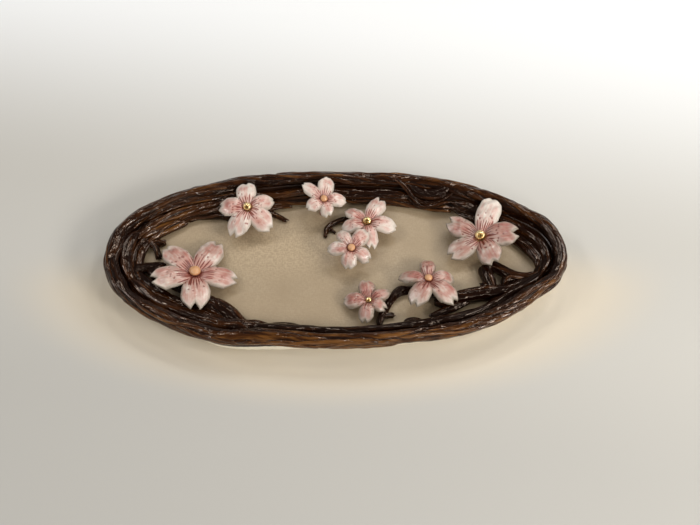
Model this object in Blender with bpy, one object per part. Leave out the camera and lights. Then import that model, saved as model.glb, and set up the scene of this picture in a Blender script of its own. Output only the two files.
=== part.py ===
"""Hand-built oval stoneware dish with a bark rim, twigs and eight cherry blossoms.

X runs along the dish, Y across it and Z up, and the dish stands on Z = 0. Sizes in the
constants and tables are millimetres, and MM turns them into metres as meshes are made.
"""

import math
from collections import namedtuple

import bmesh
import bpy
from mathutils import Vector

MM = 0.001
FIT_GAP = 0.3  # clearance between pieces that touch

# The dish: an oval slab with a coved wall, standing on a low foot ring.
HALF_LENGTH = 134.0
HALF_WIDTH = 60.2
FLOOR_TOP = 6.0
WALL_TOP = 13.2
FOOT_RECESS = 1.2
OVAL_STEPS = 84
MOST_INSET = 18.9  # the flat floor starts this far in from the rim's outer edge

# The wall's section, as (inset from the oval, height), from the floor over the rim to the foot.
DISH_SECTION = (
    (MOST_INSET, FLOOR_TOP),
    (15.4, FLOOR_TOP + 0.6),
    (11.8, FLOOR_TOP + 2.2),
    (9.2, FLOOR_TOP + 3.9),
    (7.8, FLOOR_TOP + 6.0),
    (7.4, WALL_TOP),
    (2.6, WALL_TOP),
    (3.4, 9.6),
    (6.2, 5.0),
    (10.2, 1.2),
    (11.6, 0.0),
    (17.0, 0.0),
    (MOST_INSET, FOOT_RECESS),
)

# The rim was rolled by hand, so it swells out of the true oval and dips in: (turn, scale).
RIM_WANDER = (
    (0, 1.010),
    (18, 1.016),
    (35, 1.000),
    (65, 1.020),
    (84, 1.013),
    (98, 1.033),
    (144, 1.052),
    (184, 1.008),
    (222, 1.042),
    (241, 1.080),
    (255, 1.014),
    (272, 1.028),
    (290, 1.013),
    (305, 1.024),
    (328, 0.977),
    (346, 0.997),
)

# Coils of clay laid round the oval in three courses: the rim, and two inside the wall.
Course = namedtuple("Course", "inset height radius step")
RIM = Course(inset=4.6, height=16.6, radius=4.6, step=9.0)
UPPER = Course(inset=12.3, height=12.0, radius=3.5, step=8.0)
LOWER = Course(inset=18.4, height=9.15, radius=2.8, step=8.0)

# Each coil: name, course, first turn and last turn in degrees round the oval.
COILS = (
    ("rim_coil_left", RIM, 104, 246),
    ("rim_coil_front", RIM, 246, 329),
    ("rim_coil_right", RIM, 329, 392),
    ("rim_coil_back", RIM, 32, 104),
    ("upper_coil_back_left", UPPER, 97, 164),
    ("upper_coil_left_end", UPPER, 166, 198),
    ("upper_coil_front_left", UPPER, 200, 246),
    ("upper_coil_front", UPPER, 248, 297),
    ("upper_coil_front_right", UPPER, 299, 346),
    ("upper_coil_right_end", UPPER, 348, 417),
    ("upper_coil_back", UPPER, 73, 95),
    ("lower_coil_left_end", LOWER, 163, 188),
    ("lower_coil_back_left", LOWER, 141, 160),
    ("lower_coil_back", LOWER, 90, 106),
    ("lower_coil_back_right", LOWER, 56, 87),
    ("lower_coil_right_end", LOWER, 353, 411),
    ("lower_coil_front", LOWER, 252, 328),
)
JOIN_TURN = 0.12  # degrees left free at each end of a coil

# Branches and twigs that lie on the dish's floor: a stem and its side shoots, each a list of
# (x, y, radius, lift off the floor).
BRANCHES = {
    "branch_front_left": (
        (
            (-111, -5, 3.0, 0),
            (-103, -11, 3.8, 0),
            (-91, -18, 4.4, 0),
            (-75, -28, 4.6, 0),
            (-62, -34, 4.0, 0),
            (-50, -40, 2.8, 0),
        ),
    ),
    "branch_right": (
        (
            (114, -13, 3.6, 0.4),
            (104, -18, 3.7, 0),
            (93, -20, 3.6, 0),
            (82, -22, 3.4, 0),
            (68, -25, 3.1, 0),
            (54, -22, 2.7, 0),
            (42, -20, 2.3, 0),
            (34, -22, 2.1, 0),
            (29, -28, 1.9, 0),
            (26, -37, 1.4, 0),
        ),
        ((80, -23, 2.6, 0), (71, -28, 2.7, 0), (62, -33, 2.5, 0), (57, -36, 1.9, 0)),
        ((111, -14, 2.6, 0.6), (105, -9, 2.6, 0), (96, -7, 2.4, 0), (87, -6, 2.2, 0), (87, -17, 2.2, 0)),
        ((82, -21, 1.8, 0), (80, -16, 1.5, 0)),
        ((28, -30, 1.4, 0), (33, -35, 1.3, 0)),
    ),
    "branch_back_left": (
        (
            (-84, 33, 2.2, 0),
            (-72, 34, 2.6, 0),
            (-62, 31, 3.0, 0),
            (-52, 33, 3.0, 0),
            (-42, 36, 2.3, 0),
            (-31, 31, 1.5, 0),
        ),
    ),
    "twig_middle": (
        ((13, 33, 1.7, 0), (5, 32, 1.8, 0), (-2, 29, 1.8, 0), (-6, 25, 1.8, 0), (-7, 19, 1.3, 0)),
        ((-5, 26, 1.4, 0), (-1, 22, 1.1, 0)),
    ),
    "twig_left": (
        ((-112, 14, 2.0, 0), (-109, 9, 1.8, 0), (-106, 2, 1.2, 0)),
        ((-111, 12, 1.6, 0), (-104, 14, 1.3, 0)),
    ),
    "knot_front": (((39, -37, 2.2, 0), (46, -38, 2.9, 0), (54, -37, 2.0, 0)),),
}
BRANCH_STEP = 6.0
TUBE_SIDES_SETTING = 2  # a curve's bevel_resolution: 8 sides

# A blossom: centre, lean of its face towards -Y and towards +X in degrees, droop of the petal
# tips below the centre, and for each petal (azimuth in degrees, reach).
Blossom = namedtuple("Blossom", "name centre lean droop bead petals")
BLOSSOMS = (
    Blossom(
        "left", (-81.8, -10.0, 15.0), (-8, 8), 2.0, 3.0,
        ((63, 26.0), (138, 24.0), (200, 25.1), (278, 26.7), (350, 25.3)),
    ),
    Blossom(
        "back_left", (-53.9, 32.7, 20.5), (13, -1), 4.5, 2.4,
        ((16, 16.2), (97, 16.7), (174, 17.8), (252, 18.9), (317, 19.2)),
    ),
    Blossom(
        "back", (-7.8, 38.8, 20.0), (10, 10), 2.0, 2.2,
        ((1, 13.5), (82, 15.2), (142, 16.2), (213, 13.5), (287, 11.7)),
    ),
    Blossom(
        "middle_back", (18.0, 27.1, 14.5), (-2, -4), 3.5, 2.5,
        ((61, 20.0), (142, 16.6), (195, 15.9), (279, 20.6), (348, 18.6)),
    ),
    Blossom(
        "middle_front", (8.8, 4.6, 18.8), (10, 3), 3.5, 2.3,
        ((50, 15.1), (116, 13.1), (188, 14.8), (260, 14.0), (328, 13.9)),
    ),
    Blossom(
        "front", (18.5, -27.8, 13.5), (0, -6), 3.5, 1.7,
        ((27, 13.7), (105, 14.8), (180, 14.7), (257, 15.1), (326, 12.7)),
    ),
    Blossom(
        "front_right", (53.1, -15.7, 16.5), (-10, 0), 5.5, 2.6,
        ((3, 16.5), (92, 19.9), (173, 18.1), (244, 20.0), (318, 21.2)),
    ),
    Blossom(
        "right", (86.0, 13.5, 17.0), (3, -14), 0.0, 3.0,
        ((72, 25.7), (148, 24.7), (209, 23.6), (284, 23.3), (358, 21.5)),
    ),
)

HUB_SHARE = 0.15  # hub radius over the mean petal reach
PETAL_WIDTH_SHARE = 0.66  # full width over reach
PETAL_THICKNESS = 2.0
PETAL_CROWN = 1.3  # how far the middle of a petal stands above its edges
NOTCH_SHARE = 0.16  # depth of the notch in a petal's tip, over its reach
# Rows along a petal, as (share of its length, share of its half width).
PETAL_ROWS = ((0.34, 0.62), (0.64, 1.0), (0.86, 0.84), (1.0, 0.44))
ACROSS = (-1.0, -0.5, 0.0, 0.5, 1.0)
CALYX_FOOT_RADIUS = 2.6
CALYX_NECK = 3.2  # depth of the calyx's wide part below the hub
BEAD_FLATTEN = 0.72

DARK_GLAZE = ((0.085, 0.036, 0.016, 1.0), 0.22, 0.0)
BUFF_GLAZE = ((0.56, 0.47, 0.34, 1.0), 0.45, 0.0)
PETAL_GLAZE = ((0.86, 0.66, 0.65, 1.0), 0.30, 0.0)
PEACH_GLAZE = ((0.86, 0.52, 0.30, 1.0), 0.35, 0.0)
GOLD_LUSTRE = ((0.83, 0.62, 0.22, 1.0), 0.20, 1.0)
GILDED = {"back_left", "middle_back", "front", "right"}


def new_collection(name):
    """A collection of this name in the scene."""
    made = bpy.data.collections.new(name)
    bpy.context.scene.collection.children.link(made)
    return made


def new_material(name, finish):
    """A Principled material with the finish's colour, roughness and metallic value."""
    colour, roughness, metallic = finish
    made = bpy.data.materials.new(name)
    made.use_nodes = True
    shader = made.node_tree.nodes["Principled BSDF"]
    shader.inputs["Base Color"].default_value = colour
    shader.inputs["Roughness"].default_value = roughness
    shader.inputs["Metallic"].default_value = metallic
    made.diffuse_color = colour
    return made


def wander(turn):
    """Scale of the oval at this turn, eased between the points of RIM_WANDER."""
    turn %= 360
    for (start, low), (end, high) in zip(RIM_WANDER, RIM_WANDER[1:] + ((360, RIM_WANDER[0][1]),)):
        if turn <= end:
            share = (turn - start) / (end - start)
            return low + (high - low) * share * share * (3 - 2 * share)
    return RIM_WANDER[0][1]


def on_oval(turn, inset, height):
    """The point at this turn, inset from the oval, in millimetres."""
    angle = math.radians(turn)
    scale = wander(turn)
    return Vector((
        (HALF_LENGTH - inset) * math.cos(angle) * scale,
        (HALF_WIDTH - inset) * math.sin(angle) * scale,
        height,
    ))


def object_from_bmesh(name, shape, collection):
    """Writes the bmesh to a new object, with its faces pointing out."""
    bmesh.ops.recalc_face_normals(shape, faces=shape.faces)
    mesh = bpy.data.meshes.new(name)
    shape.to_mesh(mesh)
    shape.free()
    made = bpy.data.objects.new(name, mesh)
    collection.objects.link(made)
    return made


def dish_solid(name, grow, collection):
    """The dish's body: its wall's section lofted through oval rings. grow swells the section."""
    section = offset_section(DISH_SECTION, grow)
    shape = bmesh.new()
    rings = []
    for inset, height in section:
        turns = (360 * step / OVAL_STEPS for step in range(OVAL_STEPS))
        rings.append([shape.verts.new(on_oval(turn, inset, height) * MM) for turn in turns])
    for inner, outer in zip(rings, rings[1:]):
        for step in range(OVAL_STEPS):
            after = (step + 1) % OVAL_STEPS
            shape.faces.new((inner[step], inner[after], outer[after], outer[step]))
    shape.faces.new(rings[0])
    shape.faces.new(rings[-1])
    return object_from_bmesh(name, shape, collection)


def offset_section(section, distance):
    """The open section moved out of the clay by a distance, its two ends straight up and down."""
    moved = []
    for index, (inset, height) in enumerate(section):
        before = section[max(index - 1, 0)]
        after = section[min(index + 1, len(section) - 1)]
        along = Vector((after[0] - before[0], after[1] - before[1])).normalized()
        out = Vector((-along.y, along.x)) * -distance
        if index in (0, len(section) - 1):
            out = Vector((0, distance if index == 0 else -distance))
        moved.append((inset + out.x, height + out.y))
    return moved


def smooth_route(points, step):
    """Points at about this spacing on a smooth curve through the given 4-number points."""
    points = [Vector(point) for point in points]
    ends = [points[0] * 2 - points[1]] + points + [points[-1] * 2 - points[-2]]
    route = [points[0]]
    for before, start, end, after in zip(ends, ends[1:], ends[2:], ends[3:]):
        count = max(1, round((end - start).to_3d().length / step))
        for index in range(1, count + 1):
            t = index / count
            route.append(0.5 * (
                2 * start
                + (end - before) * t
                + (2 * before - 5 * start + 4 * end - after) * t * t
                + (3 * start - before - 3 * end + after) * t * t * t
            ))
    return route


def tube(name, route, grow, collection):
    """A round tube along the route of (x, y, z, radius), as a welded mesh."""
    curve = bpy.data.curves.new(name, "CURVE")
    curve.dimensions = "3D"
    curve.bevel_depth = MM
    curve.bevel_resolution = TUBE_SIDES_SETTING
    curve.use_fill_caps = True
    spline = curve.splines.new("POLY")
    spline.points.add(len(route) - 1)
    for point, (x, y, z, radius) in zip(spline.points, route):
        point.co = (x * MM, y * MM, z * MM, 1)
        point.radius = radius + grow
    if grow:
        stretch_ends(spline, grow)
    drawn = bpy.data.objects.new(name + "_curve", curve)
    collection.objects.link(drawn)
    mesh = bpy.data.meshes.new_from_object(drawn.evaluated_get(bpy.context.evaluated_depsgraph_get()))
    made = bpy.data.objects.new(name, mesh)
    made.matrix_world = drawn.matrix_world
    collection.objects.link(made)
    bpy.data.objects.remove(drawn)
    shape = bmesh.new()
    shape.from_mesh(mesh)
    bmesh.ops.remove_doubles(shape, verts=shape.verts, dist=0.001 * MM)
    bmesh.ops.recalc_face_normals(shape, faces=shape.faces)
    shape.to_mesh(mesh)
    shape.free()
    return made


def stretch_ends(spline, distance):
    """Moves the spline's two end points outwards along their own stretch."""
    for end, inner in ((0, 1), (-1, -2)):
        away = (spline.points[end].co - spline.points[inner].co).to_3d().normalized() * distance * MM
        spline.points[end].co = spline.points[end].co + away.to_4d() - Vector((0, 0, 0, 1))


def apply_modifiers(obj):
    """Bakes the object's modifiers into its mesh."""
    evaluated = obj.evaluated_get(bpy.context.evaluated_depsgraph_get())
    mesh = bpy.data.meshes.new_from_object(evaluated)
    obj.modifiers.clear()
    obj.data = mesh


def boolean(obj, other, operation):
    """Adds a Boolean modifier and bakes it in."""
    modifier = obj.modifiers.new(operation.lower(), "BOOLEAN")
    modifier.operation = operation
    modifier.solver = "EXACT"
    modifier.object = other
    apply_modifiers(obj)


def keep_largest(obj):
    """Deletes every loose offcut but the biggest piece."""
    shape = bmesh.new()
    shape.from_mesh(obj.data)
    unseen = set(shape.verts)
    pieces = []
    while unseen:
        piece = {unseen.pop()}
        edge = list(piece)
        while edge:
            near = {e.other_vert(v) for v in edge for e in v.link_edges} - piece
            piece |= near
            edge = list(near)
        unseen -= piece
        pieces.append(piece)
    pieces.sort(key=len)
    offcuts = [vert for piece in pieces[:-1] for vert in piece]
    bmesh.ops.delete(shape, geom=offcuts, context="VERTS")
    bmesh.ops.dissolve_degenerate(shape, dist=0.002 * MM, edges=shape.edges)
    shape.to_mesh(obj.data)
    shape.free()


def boxes_meet(first, second):
    """Whether the two objects' boxes overlap."""
    spans = []
    for obj in (first, second):
        corners = [vert.co for vert in obj.data.vertices]
        spans.append([(min(c[axis] for c in corners), max(c[axis] for c in corners)) for axis in range(3)])
    return all(a[0] < b[1] and b[0] < a[1] for a, b in zip(*spans))


def carve(obj, cutters):
    """Cuts the object back from every cutter that its box meets."""
    for cutter in cutters:
        if boxes_meet(obj, cutter):
            boolean(obj, cutter, "DIFFERENCE")
    keep_largest(obj)


def coil_route(course, start, end):
    """A coil's route round the oval, thinner towards its two ends for the inner courses."""
    first, last = start + JOIN_TURN, end - JOIN_TURN
    middle = on_oval((first + last) / 2, course.inset, 0).length
    count = max(3, round(math.radians(last - first) * max(middle, HALF_WIDTH) / course.step))
    route = []
    for index in range(count + 1):
        share = index / count
        turn = first + (last - first) * share
        taper = 1.0 if course is RIM else min(1.0, 0.6 + 4 * min(share, 1 - share))
        place = on_oval(turn, course.inset, course.height)
        route.append((*place, course.radius * taper))
    return route


def branch_route(points):
    """The route of a stem or shoot whose underside is at the floor, plus its lift."""
    laid = [(x, y, FLOOR_TOP + FIT_GAP + radius + lift, radius) for x, y, radius, lift in points]
    return smooth_route(laid, BRANCH_STEP)


def branch_solid(name, stems, grow, collection):
    """A stem with its side shoots joined to it."""
    made = tube(name, branch_route(stems[0]), grow, collection)
    for index, shoot in enumerate(stems[1:]):
        side = tube(f"{name}_shoot_{index}", branch_route(shoot), grow, collection)
        boolean(made, side, "UNION")
        bpy.data.objects.remove(side)
    return made


def face_axes(lean):
    """The X axis, Y axis and normal of a blossom's face, from its lean in degrees."""
    towards_viewer, towards_right = (math.radians(angle) for angle in lean)
    normal = Vector((math.sin(towards_right), -math.sin(towards_viewer), 0))
    normal.z = math.sqrt(1 - normal.length_squared)
    across = (Vector((1, 0, 0)) - normal * normal.x).normalized()
    return across, normal.cross(across), normal


def petal_point(blossom, hub, petal, row, side):
    """A point of a petal's middle surface in the blossom's frame: (x, y, height)."""
    azimuth, reach = math.radians(petal[0]), petal[1]
    share, width = row
    tip = max(0.0, (share - 0.7) / 0.3)
    notch = NOTCH_SHARE * reach * tip * tip * (1 - 2 * abs(side)) if abs(side) < 0.5 else 0
    round_off = 0.10 * reach * tip * max(0.0, abs(side) - 0.5) * 2
    radial = hub + (reach - hub) * share - notch - round_off
    sideways = side * width * reach * PETAL_WIDTH_SHARE / 2
    crown = PETAL_CROWN * (1 - side * side) * math.sin(math.pi * min(1, share))
    height = crown - blossom.droop * ((radial - hub) / (reach - hub)) ** 2
    direction = Vector((math.cos(azimuth), math.sin(azimuth)))
    flat = direction * radial + Vector((-direction.y, direction.x)) * sideways
    return flat.x, flat.y, height


def corolla(blossom, collection):
    """Five petals, the hub that they grow from and the calyx under it, as one closed solid."""
    shape = bmesh.new()
    across, along, normal = face_axes(blossom.lean)
    centre = Vector(blossom.centre)
    hub = HUB_SHARE * sum(reach for _, reach in blossom.petals) / len(blossom.petals)

    def vert(x, y, height):
        return shape.verts.new((centre + across * x + along * y + normal * height) * MM)

    half = PETAL_THICKNESS / 2
    azimuths = [petal[0] for petal in blossom.petals]
    corners = []
    for index, azimuth in enumerate(azimuths):
        before = azimuths[index - 1] - (360 if index == 0 else 0)
        corners.append((azimuth + before) / 2)
    corners.append(corners[0] + 360)
    base_turns = []
    for start, end in zip(corners, corners[1:]):
        steps = len(ACROSS) - 1
        base_turns += [math.radians(start + (end - start) * step / steps) for step in range(steps)]
    top_base = [vert(hub * math.cos(a), hub * math.sin(a), half) for a in base_turns]
    low_base = [vert(hub * math.cos(a), hub * math.sin(a), -half) for a in base_turns]
    count = len(base_turns)

    for index, petal in enumerate(blossom.petals):
        first = index * (len(ACROSS) - 1)
        picks = [(first + step) % count for step in range(len(ACROSS))]
        top_rows = [[top_base[pick] for pick in picks]]
        low_rows = [[low_base[pick] for pick in picks]]
        for row in PETAL_ROWS:
            top_row, low_row = [], []
            for side in ACROSS:
                x, y, height = petal_point(blossom, hub, petal, row, side)
                thin = half * (1 - 0.45 * side * side) * (1 - 0.25 * row[0])
                top_row.append(vert(x, y, height + thin))
                low_row.append(vert(x, y, height - thin))
            top_rows.append(top_row)
            low_rows.append(low_row)
        close_petal(shape, top_rows, low_rows)

    cap = vert(0, 0, half + 0.3)
    for step in range(count):
        shape.faces.new((top_base[step], top_base[(step + 1) % count], cap))
    close_calyx(shape, low_base, base_turns, centre, hub)
    return object_from_bmesh("blossom_" + blossom.name, shape, collection)


def close_petal(shape, top_rows, low_rows):
    """Faces over a petal's top, under it, and round its edge from hub to hub."""
    for rows in (top_rows, low_rows):
        for inner, outer in zip(rows, rows[1:]):
            for step in range(len(ACROSS) - 1):
                shape.faces.new((inner[step], inner[step + 1], outer[step + 1], outer[step]))
    for side in (0, -1):
        for inner in range(len(top_rows) - 1):
            outer = inner + 1
            shape.faces.new((
                top_rows[inner][side],
                top_rows[outer][side],
                low_rows[outer][side],
                low_rows[inner][side],
            ))
    for step in range(len(ACROSS) - 1):
        shape.faces.new((
            top_rows[-1][step],
            top_rows[-1][step + 1],
            low_rows[-1][step + 1],
            low_rows[-1][step],
        ))


def close_calyx(shape, low_base, turns, centre, hub):
    """The tapered stalk under the hub, down to a flat foot on the dish's floor."""
    count = len(turns)
    foot = FLOOR_TOP + FIT_GAP
    neck = max(foot + 0.5, centre.z - PETAL_THICKNESS / 2 - CALYX_NECK)
    rings = [low_base]
    for radius, height in ((min(hub, CALYX_FOOT_RADIUS), neck), (CALYX_FOOT_RADIUS * 0.9, foot)):
        rings.append([
            shape.verts.new((
                (centre.x + radius * math.cos(a)) * MM,
                (centre.y + radius * math.sin(a)) * MM,
                height * MM,
            ))
            for a in turns
        ])
    for upper, under in zip(rings, rings[1:]):
        for step in range(count):
            after = (step + 1) % count
            shape.faces.new((upper[step], upper[after], under[after], under[step]))
    shape.faces.new(rings[-1])


def bead(blossom, collection):
    """The flattened bead of clay that sits on a blossom's hub."""
    _, _, normal = face_axes(blossom.lean)
    radius = blossom.bead
    lift = PETAL_THICKNESS / 2 + 0.3 + FIT_GAP + radius * BEAD_FLATTEN
    shape = bmesh.new()
    bmesh.ops.create_uvsphere(shape, u_segments=12, v_segments=7, radius=radius * MM)
    bmesh.ops.scale(shape, vec=(1, 1, BEAD_FLATTEN), verts=shape.verts)
    made = object_from_bmesh("bead_" + blossom.name, shape, collection)
    made.location = (Vector(blossom.centre) + normal * lift) * MM
    made.rotation_euler = normal.to_track_quat("Z", "Y").to_euler()
    return made


def as_cutter(obj):
    """Marks an object as a construction shape that isn't part of the dish."""
    obj.hide_render = True
    obj.display_type = "WIRE"
    return obj


def finish_piece(obj, finish, parent):
    """Gives a piece its own material and smooth shading, and parents it to the dish's empty."""
    obj.data.materials.clear()
    obj.data.materials.append(new_material(obj.name, finish))
    obj.data.shade_smooth()
    obj.data.set_sharp_from_angle(angle=math.radians(40))
    obj.parent = parent


def build():
    """Makes the whole dish."""
    for obj in list(bpy.data.objects):
        bpy.data.objects.remove(obj)
    pieces = new_collection("cherry_blossom_dish")
    shapes = new_collection("cutters")
    root = bpy.data.objects.new("dish_origin", None)
    pieces.objects.link(root)

    body = dish_solid("dish_body", 0, pieces)
    finish_piece(body, BUFF_GLAZE, root)
    dish_cutter = as_cutter(dish_solid("dish_clearance", FIT_GAP, shapes))

    taken = [dish_cutter]
    for name, course, start, end in COILS:
        route = coil_route(course, start, end)
        coil = tube(name, route, 0, pieces)
        carve(coil, taken if course is not RIM else [dish_cutter])
        finish_piece(coil, DARK_GLAZE, root)
        if course is not RIM:
            taken.append(as_cutter(tube(name + "_clearance", route, FIT_GAP, shapes)))
    for name, stems in BRANCHES.items():
        branch = branch_solid(name, stems, 0, pieces)
        carve(branch, taken)
        finish_piece(branch, DARK_GLAZE, root)
        taken.append(as_cutter(branch_solid(name + "_clearance", stems, FIT_GAP, shapes)))
    for name, course, start, end in COILS:
        if course is RIM:
            taken.append(as_cutter(tube(name + "_clearance", coil_route(course, start, end), FIT_GAP, shapes)))
    for blossom in BLOSSOMS:
        flower = corolla(blossom, pieces)
        carve(flower, taken)
        finish_piece(flower, PETAL_GLAZE, root)
        centre = bead(blossom, pieces)
        finish_piece(centre, GOLD_LUSTRE if blossom.name in GILDED else PEACH_GLAZE, root)


build()
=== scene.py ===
"""Looks of an oval stoneware dish with a bark rim, twigs and eight cherry blossoms.

X runs along the dish, Y across it and Z up. Sizes in the fields and tables are millimetres,
and MM turns them into metres as meshes are made. The studio's are metres from the start.
"""

import logging
import math
from collections.abc import Sequence
from dataclasses import dataclass, field
from enum import Enum

import bmesh
import bpy
import numpy as np
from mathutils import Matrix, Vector


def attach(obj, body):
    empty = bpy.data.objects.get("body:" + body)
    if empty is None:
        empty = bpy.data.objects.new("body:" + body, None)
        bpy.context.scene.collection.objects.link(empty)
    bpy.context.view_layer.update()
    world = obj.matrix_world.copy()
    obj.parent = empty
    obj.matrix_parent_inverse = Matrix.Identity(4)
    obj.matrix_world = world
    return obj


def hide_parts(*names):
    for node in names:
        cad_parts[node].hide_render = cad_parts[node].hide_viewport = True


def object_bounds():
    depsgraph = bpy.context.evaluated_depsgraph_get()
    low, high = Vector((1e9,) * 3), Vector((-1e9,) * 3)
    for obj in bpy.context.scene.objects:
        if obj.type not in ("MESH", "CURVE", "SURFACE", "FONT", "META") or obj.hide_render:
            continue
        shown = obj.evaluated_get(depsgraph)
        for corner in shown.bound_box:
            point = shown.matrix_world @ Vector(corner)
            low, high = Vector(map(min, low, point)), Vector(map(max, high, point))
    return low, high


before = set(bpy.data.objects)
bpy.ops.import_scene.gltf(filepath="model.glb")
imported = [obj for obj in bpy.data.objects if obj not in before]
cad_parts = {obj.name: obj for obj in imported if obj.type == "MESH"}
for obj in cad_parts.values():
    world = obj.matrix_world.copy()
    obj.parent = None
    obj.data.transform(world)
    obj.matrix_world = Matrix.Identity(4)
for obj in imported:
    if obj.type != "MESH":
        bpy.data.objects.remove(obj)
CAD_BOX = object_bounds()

LOG = logging.getLogger("dish")
MM = 0.001
SEED = 41
FLOOR_TOP = 6.0
TURN = 2 * math.pi
BOX_MARGIN = 0.02  # millimetres that every piece keeps inside the CAD box

Colour = tuple[float, float, float, float]
Socket = bpy.types.NodeSocket


class Slot(Enum):
    """The record's material slots."""

    FLOOR = "buff_satin_glaze"
    BARK = "bark_glaze"
    PETAL = "petal_glaze"
    GOLD = "bead_gold_lustre"
    PEACH = "bead_peach_glaze"


class End(Enum):
    """How a strand of bark ends."""

    POINTED = "pointed"
    ROUNDED = "rounded"
    BROKEN = "broken"


# -------- curves and noise


def eased(points: Sequence[tuple[float, float]], places: np.ndarray) -> np.ndarray:
    """A smooth curve through a few points.

    Args:
        points: (place, value) pairs in rising order of place.
        places: where the curve is read.

    Returns:
        The curve's value at each place, held level beyond the two end points.
    """
    xs, ys = (np.array(column, float) for column in zip(*points))
    slopes = np.gradient(ys, xs)
    places = np.clip(places, xs[0], xs[-1])
    index = np.clip(np.searchsorted(xs, places, side="right") - 1, 0, len(xs) - 2)
    width = xs[index + 1] - xs[index]
    t = (places - xs[index]) / width
    return (
        ys[index] * (1 + 2 * t) * (1 - t) ** 2
        + slopes[index] * width * t * (1 - t) ** 2
        + ys[index + 1] * t * t * (3 - 2 * t)
        + slopes[index + 1] * width * t * t * (t - 1)
    )


def smoothstep(low: float, high: float, value: np.ndarray) -> np.ndarray:
    """0 at low, 1 at high and an eased rise between them, either way round."""
    t = np.clip((value - low) / (high - low), 0, 1)
    return t * t * (3 - 2 * t)


def unit(vectors: np.ndarray) -> np.ndarray:
    """The rows of an array scaled to length 1."""
    return vectors / np.linalg.norm(vectors, axis=-1, keepdims=True)


class Waver:
    """A seeded smooth wavering of one or two variables, mostly between -1 and 1."""

    def __init__(
        self, rng: np.random.Generator, length: float, width: float = math.inf, waves: int = 5
    ) -> None:
        """Draws the waves.

        Args:
            rng: the seeded source of its waves.
            length: typical wavelength along the first variable.
            width: typical wavelength along the second variable.
            waves: how many waves are summed.
        """
        self.first = TURN / length * rng.uniform(0.6, 1.7, waves)
        self.second = TURN / width * rng.uniform(0.5, 1.6, waves) * rng.choice((-1, 1), waves)
        self.phase = rng.uniform(0, TURN, waves)
        self.share = 1.5 / waves

    def __call__(self, first: np.ndarray, second: np.ndarray | float = 0.0) -> np.ndarray:
        """The wavering at these values of the variables.

        Args:
            first: values of the first variable.
            second: values of the second variable.

        Returns:
            The wavering at each pair of values.
        """
        total = np.zeros(np.broadcast(first, second).shape)
        for a, b, phase in zip(self.first, self.second, self.phase):
            total = total + np.sin(a * first + b * second + phase)
        return total * self.share


class Fibres:
    """Seeded streaky noise on a grid of two variables, from -1 to 1."""

    ROWS = 211  # rows of the grid where the first variable doesn't lap
    COLUMNS = 97
    GROOVE_SLOPE = 2.2

    def __init__(
        self, rng: np.random.Generator, length: float, width: float, lap: float | None = None
    ) -> None:
        """Draws the grid.

        Args:
            rng: the seeded source of its values.
            length: spacing of the grid along the first variable.
            width: spacing of the grid along the second variable.
            lap: the first variable's whole length, where the noise has to meet itself.
        """
        self.rows = max(2, round(lap / length)) if lap else self.ROWS
        self.length = lap / self.rows if lap else length
        self.width = width
        self.table = rng.uniform(-1, 1, (self.rows, self.COLUMNS))

    def __call__(self, first: np.ndarray, second: np.ndarray) -> np.ndarray:
        """The noise at these values of the variables.

        Args:
            first: values of the first variable.
            second: values of the second variable.

        Returns:
            The noise at each pair of values.
        """
        first, second = np.broadcast_arrays(first / self.length, second / self.width)
        row, column = np.floor(first).astype(int), np.floor(second).astype(int)
        u, v = smoothstep(0, 1, first - row), smoothstep(0, 1, second - column)
        rows, columns = (row % self.rows, (row + 1) % self.rows), (column, column + 1)
        (near, near_next), (far, far_next) = (
            [self.table[at, beside % self.COLUMNS] for beside in columns] for at in rows
        )
        return (near * (1 - u) + far * u) * (1 - v) + (near_next * (1 - u) + far_next * u) * v

    def grooves(self, first: np.ndarray, second: np.ndarray, power: float = 0.6) -> np.ndarray:
        """Narrow grooves between rounded ridges: 1 in a groove and 0 on a ridge."""
        return 1 - np.minimum(np.abs(self(first, second)) * self.GROOVE_SLOPE, 1) ** power


def catmull(points: Sequence[Sequence[float]], step: float) -> np.ndarray:
    """Points on a smooth curve through the given ones.

    Args:
        points: rows whose first three numbers are a place; any others are eased along.
        step: the spacing to aim for.

    Returns:
        The curve's points, one a row.
    """
    given = np.array(points, float)
    ends = np.vstack([2 * given[0] - given[1], given, 2 * given[-1] - given[-2]])
    route = [given[0]]
    for before, start, end, after in zip(ends, ends[1:], ends[2:], ends[3:]):
        count = max(2, round(float(np.linalg.norm((end - start)[:3])) / step))
        for t in np.arange(1, count + 1) / count:
            route.append(0.5 * (
                2 * start
                + (end - before) * t
                + (2 * before - 5 * start + 4 * end - after) * t * t
                + (3 * start - before - 3 * end + after) * t * t * t
            ))
    return np.array(route)


# -------- meshes


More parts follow.
